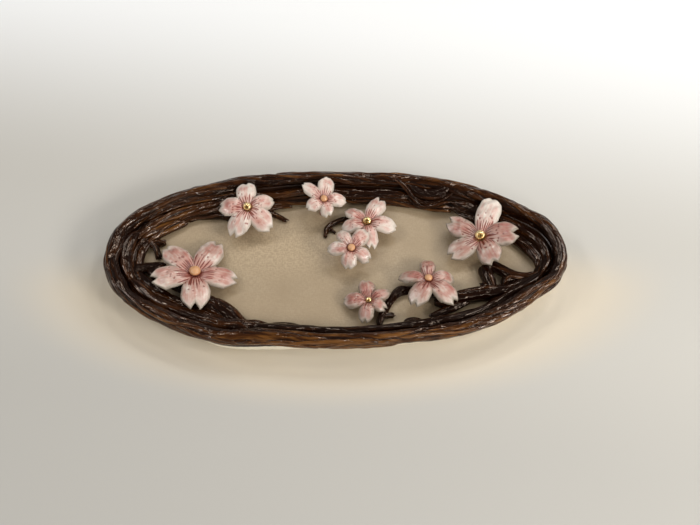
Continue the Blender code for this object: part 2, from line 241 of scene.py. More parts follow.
@dataclass
class Clay:
    """Vertices, faces and per-vertex attributes of a piece as it is built up, in millimetres."""

    places: list[np.ndarray] = field(default_factory=list)
    faces: list[np.ndarray] = field(default_factory=list)
    values: dict[str, list[np.ndarray]] = field(default_factory=dict)
    count: int = 0

    def add(self, places: np.ndarray, faces: np.ndarray, **values: np.ndarray) -> None:
        """Adds a closed shell.

        Args:
            places: its vertices, one a row.
            faces: its faces as rows of vertex numbers; a triangle repeats its last number.
            values: attributes by name, a number or three for each vertex.
        """
        self.places.append(places)
        self.faces.append(faces + self.count)
        for name, value in values.items():
            self.values.setdefault(name, []).append(np.asarray(value, float))
        self.count += len(places)

    def add_capped(self, places: np.ndarray, rows: int, sides: int, **values: np.ndarray) -> None:
        """Adds a tube of rings, closed by a pole in the middle of each end.

        Args:
            places: the rings' vertices, one a row, ring after ring.
            rows: how many rings there are.
            sides: how many vertices a ring has.
            values: attributes by name, with the two poles' values last; "plan" takes the places.
        """
        top, low = len(places), len(places) + 1
        places = np.vstack([places, places[:sides].mean(axis=0), places[-sides:].mean(axis=0)])
        faces = np.vstack([
            ring_faces(rows, sides),
            fan_faces(np.arange(sides), top),
            fan_faces(np.arange((rows - 1) * sides, rows * sides), low),
        ])
        self.add(places, faces, plan=places, **values)

    def fire(self, name: str) -> bpy.types.Object:
        """Makes the object, in metres and inside the CAD box.

        Args:
            name: the object's name.

        Returns:
            The object, linked to the scene.
        """
        low, high = (np.array(corner) / MM for corner in CAD_BOX)
        places = np.clip(np.vstack(self.places), low + BOX_MARGIN, high - BOX_MARGIN) * MM
        rows = np.vstack(self.faces).tolist()
        faces = [tuple(row[:3]) if row[2] == row[3] else tuple(row) for row in rows]
        mesh = bpy.data.meshes.new(name)
        mesh.from_pydata(places, [], faces)
        for key, parts in self.values.items():
            whole = np.concatenate(parts)
            if whole.ndim == 1:
                mesh.attributes.new(key, "FLOAT", "POINT").data.foreach_set("value", whole)
            else:
                stored = mesh.attributes.new(key, "FLOAT_VECTOR", "POINT")
                stored.data.foreach_set("vector", whole.ravel())
        shape = bmesh.new()
        shape.from_mesh(mesh)
        bmesh.ops.recalc_face_normals(shape, faces=shape.faces)
        shape.to_mesh(mesh)
        shape.free()
        mesh.shade_smooth()
        made = bpy.data.objects.new(name, mesh)
        bpy.context.scene.collection.objects.link(made)
        return made


def grid_faces(numbers: np.ndarray) -> np.ndarray:
    """Four-sided faces over a grid of vertex numbers."""
    quads = (numbers[:-1, :-1], numbers[:-1, 1:], numbers[1:, 1:], numbers[1:, :-1])
    return np.stack([quad.ravel() for quad in quads], axis=1)


def ring_faces(rows: int, columns: int, closed: bool = False) -> np.ndarray:
    """Faces round a tube of rings, joined end to end if it is closed.

    Args:
        rows: how many rings there are.
        columns: how many vertices a ring has.
        closed: whether the last ring joins the first.

    Returns:
        The faces, one a row.
    """
    numbers = np.arange(rows * columns).reshape(rows, columns)
    numbers = np.hstack([numbers, numbers[:, :1]])
    return grid_faces(np.vstack([numbers, numbers[:1]]) if closed else numbers)


def fan_faces(ring: np.ndarray, pole: int) -> np.ndarray:
    """Triangles from a ring of vertex numbers to a pole.

    Args:
        ring: the ring's vertex numbers in order.
        pole: the pole's vertex number.

    Returns:
        The faces, one a row, with their last number repeated.
    """
    after = np.roll(ring, -1)
    poles = np.full(len(ring), pole)
    return np.stack([ring, after, poles, poles], axis=1)


# -------- shader nodes


class Tree:
    """A node tree with short calls that add nodes and join them."""

    def __init__(self, tree: bpy.types.NodeTree) -> None:
        """Wraps an empty or started tree."""
        self.tree = tree

    def add(self, kind: str, **settings: object) -> bpy.types.Node:
        """Adds a shader node.

        Args:
            kind: its type, without the usual start.
            settings: its properties by name.

        Returns:
            The node.
        """
        made = self.tree.nodes.new("ShaderNode" + kind)
        for key, value in settings.items():
            setattr(made, key, value)
        return made

    def feed(self, socket: Socket, value: object) -> None:
        """Joins a socket to an output, or sets it to a value.

        Args:
            socket: the input.
            value: an output socket, or a value of the right kind.
        """
        if isinstance(value, bpy.types.NodeSocket):
            self.tree.links.new(value, socket)
        else:
            socket.default_value = value

    def math(self, operation: str, first: object, second: object = 0.0) -> Socket:
        """A Math node's result.

        Args:
            operation: the node's operation.
            first: its first input.
            second: its second input.

        Returns:
            The result.
        """
        made = self.add("Math", operation=operation)
        self.feed(made.inputs[0], first)
        self.feed(made.inputs[1], second)
        return made.outputs[0]

    def times(self, first: object, second: object) -> Socket:
        """A product."""
        return self.math("MULTIPLY", first, second)

    def plus(self, first: object, second: object, share: float | None = None) -> Socket:
        """A sum, with the second term multiplied by a share if there is one."""
        return self.math("ADD", first, second if share is None else self.times(second, share))

    def centred(self, value: object) -> Socket:
        """A noise of 0 to 1 moved to lie evenly about 0."""
        return self.math("SUBTRACT", value, 0.5)

    def span(
        self, value: object, low: object, high: object, start: float = 0.0, end: float = 1.0
    ) -> Socket:
        """An eased rise from start to end as the value goes from low to high.

        Args:
            value: the value that is read.
            low: where the rise starts.
            high: where it ends, which may be less than low.
            start: the result at low and beyond.
            end: the result at high and beyond.

        Returns:
            The result.
        """
        made = self.add("MapRange", interpolation_type="SMOOTHSTEP")
        for socket, given in zip(made.inputs, (value, low, high, start, end)):
            self.feed(socket, given)
        return made.outputs[0]

    def mix(self, factor: object, first: object, second: object, blend: str = "MIX") -> Socket:
        """A mix of two colours.

        Args:
            factor: the second colour's share.
            first: the first colour.
            second: the second colour.
            blend: how the second is laid over the first.

        Returns:
            The colour.
        """
        made = self.add("Mix", data_type="RGBA", blend_type=blend)
        self.feed(made.inputs[0], factor)
        self.feed(made.inputs[6], first)
        self.feed(made.inputs[7], second)
        return made.outputs[2]

    def noise(
        self, vector: Socket, scale: object, detail: float = 3.0, roughness: float = 0.55
    ) -> Socket:
        """A noise texture's value.

        Args:
            vector: the place it is read at.
            scale: how close its lumps are.
            detail: how many finer layers it has.
            roughness: how strong they are.

        Returns:
            The value, from 0 to 1.
        """
        made = self.add("TexNoise")
        self.feed(made.inputs["Vector"], vector)
        self.feed(made.inputs["Scale"], scale)
        self.feed(made.inputs["Detail"], detail)
        self.feed(made.inputs["Roughness"], roughness)
        return made.outputs["Fac"]

    def stretch(self, vector: Socket, scale: tuple[float, float, float]) -> Socket:
        """A vector multiplied axis by axis.

        Args:
            vector: the vector.
            scale: the factor for each axis.

        Returns:
            The product.
        """
        made = self.add("VectorMath", operation="MULTIPLY")
        self.feed(made.inputs[0], vector)
        self.feed(made.inputs[1], scale)
        return made.outputs[0]

    def red(self, colour: Socket) -> Socket:
        """The red channel of a colour.

        Args:
            colour: the colour.

        Returns:
            The channel.
        """
        made = self.add("SeparateColor")
        self.feed(made.inputs[0], colour)
        return made.outputs[0]

    def xyz(self, vector: Socket) -> tuple[Socket, ...]:
        """The three parts of a vector.

        Args:
            vector: the vector.

        Returns:
            Its X, Y and Z.
        """
        made = self.add("SeparateXYZ")
        self.feed(made.inputs[0], vector)
        return tuple(made.outputs)

    def length(self, vector: Socket) -> Socket:
        """The length of a vector.

        Args:
            vector: the vector.

        Returns:
            Its length.
        """
        made = self.add("VectorMath", operation="LENGTH")
        self.feed(made.inputs[0], vector)
        return made.outputs["Value"]

    def value(self, name: str) -> Socket:
        """A number stored on the mesh."""
        return self.add("Attribute", attribute_name=name).outputs["Fac"]

    def vector(self, name: str) -> Socket:
        """A vector stored on the mesh."""
        return self.add("Attribute", attribute_name=name).outputs["Vector"]

    def group(self, group: bpy.types.NodeTree, **inputs: object) -> bpy.types.Node:
        """Places a node group with its own values.

        Args:
            group: the node group.
            inputs: its inputs by name.

        Returns:
            The group node.
        """
        made = self.add("Group", node_tree=group)
        for key, value in inputs.items():
            self.feed(made.inputs[key], value)
        return made

    def bump(self, height: Socket, distance: float, strength: float = 1.0) -> Socket:
        """A Bump node's normal.

        Args:
            height: the height.
            distance: how far a height of 1 stands out, in millimetres.
            strength: how strongly it shows.

        Returns:
            The normal.
        """
        made = self.add("Bump")
        self.feed(made.inputs["Height"], height)
        made.inputs["Distance"].default_value = distance * MM
        made.inputs["Strength"].default_value = strength
        return made.outputs["Normal"]


def new_group(
    name: str, takes: dict[str, str], gives: dict[str, str]
) -> tuple[Tree, dict[str, Socket], bpy.types.Node]:
    """Starts a node group.

    Args:
        name: the group's name.
        takes: kind of each input socket by name: Float, Color or Vector.
        gives: kind of each output socket by name.

    Returns:
        The tree, the input sockets by name, and the group's output node.
    """
    made = bpy.data.node_groups.new(name, "ShaderNodeTree")
    for names, way in ((takes, "INPUT"), (gives, "OUTPUT")):
        for key, kind in names.items():
            made.interface.new_socket(key, in_out=way, socket_type="NodeSocket" + kind)
    start, end = made.nodes.new("NodeGroupInput"), made.nodes.new("NodeGroupOutput")
    return Tree(made), {socket.name: socket for socket in start.outputs if socket.name}, end


class GlazeEffects:
    """Node groups that the glazes share, each built once."""

    def __init__(self) -> None:
        """Builds every group."""
        self.thinning = self.build_thinning()
        self.wash = self.build_wash()
        self.specks = self.build_specks()
        self.skin = self.build_skin()

    @staticmethod
    def build_thinning() -> bpy.types.NodeTree:
        """Where glaze breaks thin over ridges (1) and where it pools in grooves (0).

        Returns:
            The group.
        """
        takes = {"Relief": "Float", "Vector": "Vector", "Scale": "Float", "Spread": "Float"}
        tree, takes, end = new_group("glaze_thinning", takes | {"Bias": "Float"}, {"Thin": "Float"})
        streak = tree.centred(tree.noise(takes["Vector"], takes["Scale"], 5.0, 0.62))
        level = tree.plus(takes["Relief"], takes["Bias"])
        level = tree.plus(level, tree.times(streak, takes["Spread"]))
        tree.feed(end.inputs["Thin"], tree.span(level, -1.0, 1.0))
        return tree.tree

    @staticmethod
    def build_wash() -> bpy.types.NodeTree:
        """Glaze colour from its pooled, even and thin colours.

        Returns:
            The group.
        """
        tree, takes, end = new_group(
            "glaze_wash",
            {"Thin": "Float", "Pooled": "Color", "Even": "Color", "Broken": "Color"},
            {"Color": "Color"},
        )
        colour = tree.mix(tree.span(takes["Thin"], 0.0, 0.55), takes["Pooled"], takes["Even"])
        colour = tree.mix(tree.span(takes["Thin"], 0.5, 1.0), colour, takes["Broken"])
        tree.feed(end.inputs["Color"], colour)
        return tree.tree

    @staticmethod
    def build_specks() -> bpy.types.NodeTree:
        """Small round specks, as a mask.

        Returns:
            The group.
        """
        tree, takes, end = new_group(
            "glaze_specks",
            {"Vector": "Vector", "Scale": "Float", "Size": "Float", "Share": "Float"},
            {"Mask": "Float"},
        )
        cells = tree.add("TexVoronoi")
        tree.feed(cells.inputs["Vector"], takes["Vector"])
        tree.feed(cells.inputs["Scale"], takes["Scale"])
        picked = tree.math("LESS_THAN", tree.red(cells.outputs["Color"]), takes["Share"])
        dot = tree.span(cells.outputs["Distance"], takes["Size"], tree.times(takes["Size"], 0.4))
        tree.feed(end.inputs["Mask"], tree.times(dot, picked))
        return tree.tree

    @staticmethod
    def build_skin() -> bpy.types.NodeTree:
        """The unevenness of a fired glaze: a height, and a roughness that varies about a level.

        Returns:
            The group.
        """
        tree, takes, end = new_group(
            "glaze_skin",
            {"Vector": "Vector", "Scale": "Float", "Level": "Float", "Change": "Float"},
            {"Height": "Float", "Roughness": "Float"},
        )
        waves = tree.noise(takes["Vector"], takes["Scale"], 2.0, 0.45)
        tree.feed(end.inputs["Height"], waves)
        patches = tree.noise(takes["Vector"], tree.times(takes["Scale"], 0.35), 3.0, 0.6)
        swing = tree.times(tree.centred(patches), takes["Change"])
        tree.feed(end.inputs["Roughness"], tree.plus(takes["Level"], swing))
        return tree.tree

    def washed(
        self, tree: Tree, thinning: bpy.types.Node, pooled: Colour, even: Colour, broken: Colour
    ) -> Socket:
        """The glaze's colour where it has thinned and pooled.

        Args:
            tree: the material's tree.
            thinning: its thinning group.
            pooled: the colour where the glaze lies thick.
            even: the colour where it lies evenly.
            broken: the colour where it breaks thin.

        Returns:
            The colour.
        """
        thin = thinning.outputs["Thin"]
        wash = tree.group(self.wash, Thin=thin, Pooled=pooled, Even=even, Broken=broken)
        return wash.outputs["Color"]


def start_finish(
    name: str, coat: float = 0.0, coat_roughness: float = 0.03
) -> tuple[bpy.types.Material, Tree, bpy.types.Node]:
    """Starts a finish.

    Args:
        name: the material's name.
        coat: the weight of the clear coat.
        coat_roughness: the roughness of the clear coat.

    Returns:
        The material, its tree and its Principled shader.
    """
    made = bpy.data.materials.new(name)
    made.use_nodes = True
    shader = made.node_tree.nodes["Principled BSDF"]
    shader.inputs["Coat Weight"].default_value = coat
    shader.inputs["Coat Roughness"].default_value = coat_roughness
    return made, Tree(made.node_tree), shader


@dataclass(frozen=True)
class BarkGlaze:
    """Dark brown gloss glaze that breaks amber on the ridges of the bark."""

    pooled: Colour = (0.0065, 0.0014, 0.0005, 1)
    even: Colour = (0.040, 0.0120, 0.0025, 1)
    broken: Colour = (0.150, 0.060, 0.0135, 1)
    tint: Colour = (1.0, 0.80, 0.66, 1)
    gloss: float = 0.33
    roughness: float = 0.10

    def make(self, effects: GlazeEffects) -> bpy.types.Material:
        """Builds the material.

        Args:
            effects: the shared node groups.

        Returns:
            The material.
        """
        made, tree, shader = start_finish("bark_glaze", coat_roughness=0.06)
        grain, relief, amber = tree.vector("grain"), tree.value("relief"), tree.value("amber")
        tree.feed(shader.inputs["Base Color"], self.colour(tree, effects, grain, relief, amber))
        skin = tree.group(
            effects.skin,
            Vector=tree.stretch(grain, (1.0, 0.45, 1.0)),
            Scale=0.45,
            Level=self.roughness,
            Change=0.08,
        )
        tree.feed(shader.inputs["Roughness"], skin.outputs["Roughness"])
        fibre = tree.noise(tree.stretch(grain, (0.62, 0.09, 1.0)), 1.0, 1.5, 0.5)
        crumbs = tree.noise(tree.stretch(grain, (0.42, 0.24, 1.0)), 1.0, 1.5, 0.5)
        height = tree.plus(tree.times(fibre, 1.3), skin.outputs["Height"], 0.25)
        height = tree.plus(height, crumbs, 0.8)
        height = tree.times(height, tree.span(amber, -0.85, -0.20, 0.35, 1.0))
        tree.feed(shader.inputs["Normal"], tree.bump(height, 0.8, 0.45))
        shader.inputs["Specular IOR Level"].default_value = self.gloss
        shader.inputs["Specular Tint"].default_value = self.tint
        proud = tree.span(relief, 0.10, 0.90, 0.08, 1.0)
        coat = tree.times(proud, tree.span(amber, -0.65, -0.10, 0.25, 1.0))
        tree.feed(shader.inputs["Coat Weight"], coat)
        return made

    def colour(
        self, tree: Tree, effects: GlazeEffects, grain: Socket, relief: Socket, amber: Socket
    ) -> Socket:
        """Dark in the grooves and amber on the ridges, with patches along the grain.

        Args:
            tree: the material's tree.
            effects: the shared node groups.
            grain: the place along and across the fibres.
            relief: how far the surface stands out.
            amber: how thin the glaze lies.

        Returns:
            The colour.
        """
        patch = tree.centred(tree.noise(tree.stretch(grain, (0.26, 0.050, 1.0)), 1.0, 4.0, 0.6))
        thinning = tree.group(
            effects.thinning,
            Relief=tree.times(relief, 0.30),
            Vector=tree.stretch(grain, (0.95, 0.13, 1.0)),
            Scale=1.0,
            Spread=1.6,
            Bias=tree.plus(amber, patch, 2.4),
        )
        colour = effects.washed(tree, thinning, self.pooled, self.even, self.broken)
        return tree.mix(tree.span(relief, -0.30, -1.0, 0.0, 0.8), colour, self.pooled)


@dataclass(frozen=True)
class PetalGlaze:
    """White glaze blushed with pink underglaze, with red-brown pooled in the carved lines."""

    white: Colour = (0.74, 0.665, 0.59, 1)
    # grey: thin glaze over the clay at the petals' edges, partly painted shade
    grey: Colour = (0.37, 0.325, 0.26, 1)
    blush: Colour = (0.60, 0.34, 0.285, 1)
    rose: Colour = (0.53, 0.19, 0.155, 1)
    # The grey multiplied into blossoms and petals that are painted darker, as painted shade.
    veil: Colour = (0.68, 0.645, 0.62, 1)
    line: Colour = (0.225, 0.046, 0.029, 1)
    gilt: Colour = (0.62, 0.42, 0.13, 1)
    roughness: float = 0.30

    def make(self, effects: GlazeEffects) -> bpy.types.Material:
        """Builds the material.

        Args:
            effects: the shared node groups.

        Returns:
            The material.
        """
        made, tree, shader = start_finish("petal_glaze", coat=0.15, coat_roughness=0.10)
        plan, reach = tree.vector("plan"), tree.value("reach")
        mottle = tree.centred(tree.noise(plan, 0.50, 4.0, 0.65))
        cloud = tree.centred(tree.noise(tree.stretch(plan, (0.10, 0.15, 1.0)), 1.0, 2.0, 0.5))
        veil = tree.value("veil")
        colour = self.blushes(tree, plan, reach, veil, cloud, mottle)
        colour = self.lines(tree, effects, colour, plan, reach)
        # Painted shade: a grey multiplied in, more on some blossoms and petals than others.
        veiled = tree.span(tree.plus(veil, cloud, 1.6), -0.3, 1.1)
        colour = tree.mix(veiled, colour, self.veil, "MULTIPLY")
        dots = tree.group(effects.specks, Vector=plan, Scale=0.42, Size=0.15, Share=0.5)
        band = tree.times(tree.span(reach, 0.34, 0.44), tree.span(reach, 0.85, 0.70))
        dotted = tree.times(dots.outputs[0], band)
        colour = tree.mix(tree.times(dotted, 0.6), colour, self.line)
        # A dark ring round the bead: glaze pooled at its foot, and painted shade under it.
        around = tree.plus(tree.value("around"), mottle, 0.5)
        colour = tree.mix(tree.span(around, 1.50, 1.10, 0.0, 0.85), colour, self.line)
        ring = tree.times(tree.span(around, 1.45, 1.15), tree.value("gilt"))
        ring = tree.times(ring, tree.span(mottle, -0.02, 0.10))
        tree.feed(shader.inputs["Base Color"], tree.mix(ring, colour, self.gilt))
        tree.feed(shader.inputs["Metallic"], tree.times(ring, 0.9))
        skin = tree.group(effects.skin, Vector=plan, Scale=0.5, Level=self.roughness, Change=0.16)
        tree.feed(shader.inputs["Roughness"], skin.outputs["Roughness"])
        height = tree.math("SUBTRACT", skin.outputs["Height"], tree.times(dotted, 1.6))
        tree.feed(shader.inputs["Normal"], tree.bump(tree.plus(height, mottle, 0.8), 0.20, 0.75))
        return made

    def blushes(
        self, tree: Tree, plan: Socket, reach: Socket, veil: Socket, cloud: Socket, mottle: Socket
    ) -> Socket:
        """White, thin and grey at the edges, the grey partly thin glaze and partly painted shade,
        with soft clouds of pink that deepen to the hub.

        Args:
            tree: the material's tree.
            plan: the place on the petal.
            reach: the share of the way out from the hub.
            veil: how far the blossom is painted darker as shade, which here also deepens the grey
                at the edges.
            cloud: a coarse noise about 0.
            mottle: a fine noise about 0.

        Returns:
            The colour.
        """
        streak = tree.centred(tree.noise(tree.stretch(plan, (0.11, 0.95, 1.0)), 1.0, 3.0, 0.55))
        pinkness = tree.plus(tree.plus(tree.value("pink"), cloud, 2.6), streak, 1.9)
        pinkness = tree.plus(pinkness, mottle, 0.9)
        edge = tree.plus(tree.value("rim"), mottle, 2.2)
        thin = tree.span(edge, 2.0, 0.3, 0.0, 0.95)
        thin = tree.times(thin, tree.span(veil, -0.4, 0.8, 0.4, 1.0))
        colour = tree.mix(thin, self.white, self.grey)
        middle = tree.times(tree.span(reach, 1.02, 0.70), tree.span(edge, 0.2, 2.8, 0.10, 1.0))
        colour = tree.mix(tree.times(middle, tree.span(pinkness, -0.35, 0.9)), colour, self.blush)
        deep = tree.times(middle, tree.span(pinkness, 0.65, 1.5, 0.0, 0.9))
        colour = tree.mix(deep, colour, self.rose)
        return tree.mix(tree.span(reach, 0.46, 0.14, 0.0, 0.42), colour, self.rose)

    def lines(
        self, tree: Tree, effects: GlazeEffects, colour: Socket, plan: Socket, reach: Socket
    ) -> Socket:
        """Adds the red-brown that pools in the carved lines.

        Args:
            tree: the material's tree.
            effects: the shared node groups.
            colour: the colour between the lines.
            plan: the place on the petal.
            reach: the share of the way out from the hub.

        Returns:
            The colour.
        """
        thinning = tree.group(
            effects.thinning,
            Relief=tree.times(tree.value("line"), -2.6),
            Vector=plan,
            Scale=0.9,
            Spread=0.9,
            Bias=0.95,
        )
        inked = tree.span(thinning.outputs["Thin"], 0.75, 0.25)
        inked = tree.times(inked, tree.span(reach, 0.80, 0.30, 0.25, 1.0))
        return tree.mix(inked, colour, self.line)


@dataclass(frozen=True)
class SatinGlaze:
    """Buff satin glaze over a slab rolled on linen, brown along the bark, which is also painted
    shade under the coils, and bare at the foot; a pale patch on its floor is painted light.
    """

    buff: Colour = (0.376, 0.288, 0.184, 1)
    warm: Colour = (0.328, 0.247, 0.153, 1)
    pale: Colour = (0.43, 0.338, 0.224, 1)
    # light is the colour of a paler patch painted on the dish's floor: painted light
    light: Colour = (0.49, 0.378, 0.243, 1)
    iron: Colour = (0.16, 0.095, 0.05, 1)
    # brown: the bark glaze run onto the wall, also painted shade in the groove under the coils
    brown: Colour = (0.030, 0.013, 0.007, 1)
    cream: Colour = (0.90, 0.84, 0.69, 1)
    clay: Colour = (0.50, 0.40, 0.29, 1)
    painted_light_centre: tuple[float, float] = (-36.0, 12.0)
    painted_light_reach: tuple[float, float] = (62.0, 27.0)
    roughness: float = 0.46

    def make(self, effects: GlazeEffects) -> bpy.types.Material:
        """Builds the material.

        Args:
            effects: the shared node groups.

        Returns:
            The material.
        """
        made, tree, shader = start_finish("buff_satin_glaze", coat=0.08, coat_roughness=0.3)
        plan = tree.vector("plan")
        warp = tree.noise(tree.stretch(plan, (1.5, 0.45, 1.0)), 1.0, 2.0, 0.5)
        weft = tree.noise(tree.stretch(plan, (0.45, 1.5, 1.0)), 1.0, 2.0, 0.5)
        weave = tree.plus(warp, weft)
        woven = tree.span(weave, 0.80, 1.20, 0.0, 0.75)
        colour = tree.mix(woven, self.ground(tree, effects), self.warm)
        specks = tree.group(effects.specks, Vector=plan, Scale=0.62, Size=0.16, Share=0.22)
        colour = tree.mix(tree.times(specks.outputs[0], 0.28), colour, self.iron)
        colour = tree.mix(tree.times(tree.value("outside"), 0.9), colour, self.cream)
        bare = tree.value("bare")
        colour = tree.mix(bare, colour, self.clay)
        # Brown where the bark glaze runs onto the wall, which is also painted shade in the groove
        # under the coils.
        edge = tree.plus(tree.value("wash"), tree.centred(tree.noise(plan, 0.5)), 0.7)
        bark_stain_and_shade = tree.span(edge, 0.35, 0.65)
        tree.feed(shader.inputs["Base Color"], tree.mix(bark_stain_and_shade, colour, self.brown))
        skin = tree.group(effects.skin, Vector=plan, Scale=0.35, Level=self.roughness, Change=0.14)
        rough = tree.math("SUBTRACT", skin.outputs["Roughness"], tree.times(bark_stain_and_shade, 0.2))
        tree.feed(shader.inputs["Roughness"], tree.plus(rough, bare, 0.3))
        height = tree.plus(tree.times(weave, 0.25), skin.outputs["Height"])
        tree.feed(shader.inputs["Normal"], tree.bump(height, 0.22, 0.5))
        return made

    def ground(self, tree: Tree, effects: GlazeEffects) -> Socket:
        """The buff of the glaze, with a paler patch of painted light on the floor of the dish.

        Args:
            tree: the material's tree.
            effects: the shared node groups.

        Returns:
            The colour.
        """
        plan = tree.vector("plan")
        thinning = tree.group(
            effects.thinning, Relief=0.0, Vector=plan, Scale=0.045, Spread=2.4, Bias=0.0
        )
        colour = effects.washed(tree, thinning, self.warm, self.buff, self.pale)
        # A paler patch painted on the floor of the dish: painted light.
        (x, y), (across, along) = self.painted_light_centre, self.painted_light_reach
        away = tree.add("VectorMath", operation="DISTANCE")
        tree.feed(away.inputs[0], tree.stretch(plan, (1 / across, 1 / along, 0.0)))
        tree.feed(away.inputs[1], (x / across, y / along, 0.0))
        return tree.mix(tree.span(away.outputs["Value"], 1.15, 0.15, 0.0, 0.85), colour, self.light)


@dataclass(frozen=True)
class BeadGlaze:
    """Finish of a bead: its colours, and whether it is a metal lustre."""

    name: str
    body: Colour
    thin: Colour
    ring: Colour
    metal: float
    roughness: float

    def make(self, effects: GlazeEffects) -> bpy.types.Material:
        """Builds the material.

        Args:
            effects: the shared node groups.

        Returns:
            The material.
        """
        made, tree, shader = start_finish(self.name, coat=0.3, coat_roughness=0.1)
        plan = tree.vector("plan")
        relief = tree.value("relief")
        thinning = tree.group(
            effects.thinning, Relief=relief, Vector=plan, Scale=0.6, Spread=1.6, Bias=0.2
        )
        colour = effects.washed(tree, thinning, self.ring, self.body, self.thin)
        tree.feed(shader.inputs["Base Color"], colour)
        skin = tree.group(effects.skin, Vector=plan, Scale=0.7, Level=self.roughness, Change=0.12)
        tree.feed(shader.inputs["Roughness"], skin.outputs["Roughness"])
        dimples = tree.noise(plan, 1.1, 2.0, 0.5)
        height = tree.plus(skin.outputs["Height"], dimples, 2.4)
        tree.feed(shader.inputs["Normal"], tree.bump(height, 0.20, 0.7))
        shader.inputs["Metallic"].default_value = self.metal
        return made


GOLD = BeadGlaze(
    "bead_gold_lustre",
    body=(0.94, 0.60, 0.22, 1),
    thin=(1.0, 0.80, 0.42, 1),
    # ring: pooled glaze at the bead's foot, and the painted dark reflection in the dent
    ring=(0.24, 0.13, 0.03, 1),
    metal=0.7,
    roughness=0.20,
)
PEACH = BeadGlaze(
    "bead_peach_glaze",
    body=(0.54, 0.26, 0.115, 1),
    thin=(0.62, 0.33, 0.16, 1),
    ring=(0.22, 0.055, 0.025, 1),
    metal=0.0,
    roughness=0.30,
)


# -------- the oval


@dataclass(frozen=True)
class Oval:
    """The dish's outline, which swells and dips round its rim as a hand-rolled coil does."""

    half_length: float = 134.0
    half_width: float = 60.2
    wander: tuple[tuple[float, float], ...] = (
        (0, 1.010), (18, 1.016), (35, 1.000), (65, 1.020), (84, 1.013), (98, 1.033), (144, 1.052),
        (184, 1.008), (222, 1.042), (241, 1.080), (255, 1.014), (272, 1.028), (290, 1.013),
        (305, 1.024), (328, 0.977), (346, 0.997), (360, 1.010),
    )

    def scale(self, turns: np.ndarray) -> np.ndarray:
        """How far the outline swells.

        Args:
            turns: where it is read, in degrees round from +X.

        Returns:
            The factor on its sizes at each turn.
        """
        starts, scales = (np.array(column, float) for column in zip(*self.wander))
        turns = np.mod(turns, 360)
        index = np.clip(np.searchsorted(starts, turns, side="left") - 1, 0, len(starts) - 2)
        share = (turns - starts[index]) / (starts[index + 1] - starts[index])
        eased_share = share * share * (3 - 2 * share)
        return scales[index] + (scales[index + 1] - scales[index]) * eased_share

    def at(
        self, turns: np.ndarray, inset: np.ndarray | float, height: np.ndarray | float
    ) -> np.ndarray:
        """Points inside the outline.

        Args:
            turns: how far round each one is, in degrees from +X.
            inset: how far they lie inside the outline.
            height: their height.

        Returns:
            The points, with their parts along the last axis.
        """
        angles = np.radians(turns)
        scale = self.scale(turns)
        across = (self.half_length - inset) * np.cos(angles) * scale
        along = (self.half_width - inset) * np.sin(angles) * scale
        return np.stack(np.broadcast_arrays(across, along, height), axis=-1)


OVAL = Oval()


# -------- strands of bark


@dataclass(frozen=True)
class Bark:
    """The make-up of a strand: vines wound on a core and the fibres combed into them."""

    vines: int = 5
    ridge: float = 0.42  # depth of the grooves between fibres
    pitch: float = 0.85  # spacing of the fibres
    drift: float = 28.0  # degrees that a vine wanders round the strand
    twist: float = 0.25  # how fast the vines wind round it
    amber: float = 0.0  # how thin the glaze lies, from -1 (pooled) to 1
    core: float = 0.76  # radius of the core, as a share of the strand's
    knots: float = 0.05  # swelling of the strand along its length
    lump: float = 0.30  # height of broad lumps
    girth: tuple[float, float] = (0.36, 0.60)  # least and greatest radius of a vine, as a share
    outer: float = 0.0  # amber painted on the outer side and taken off the inner side: painted light and shade
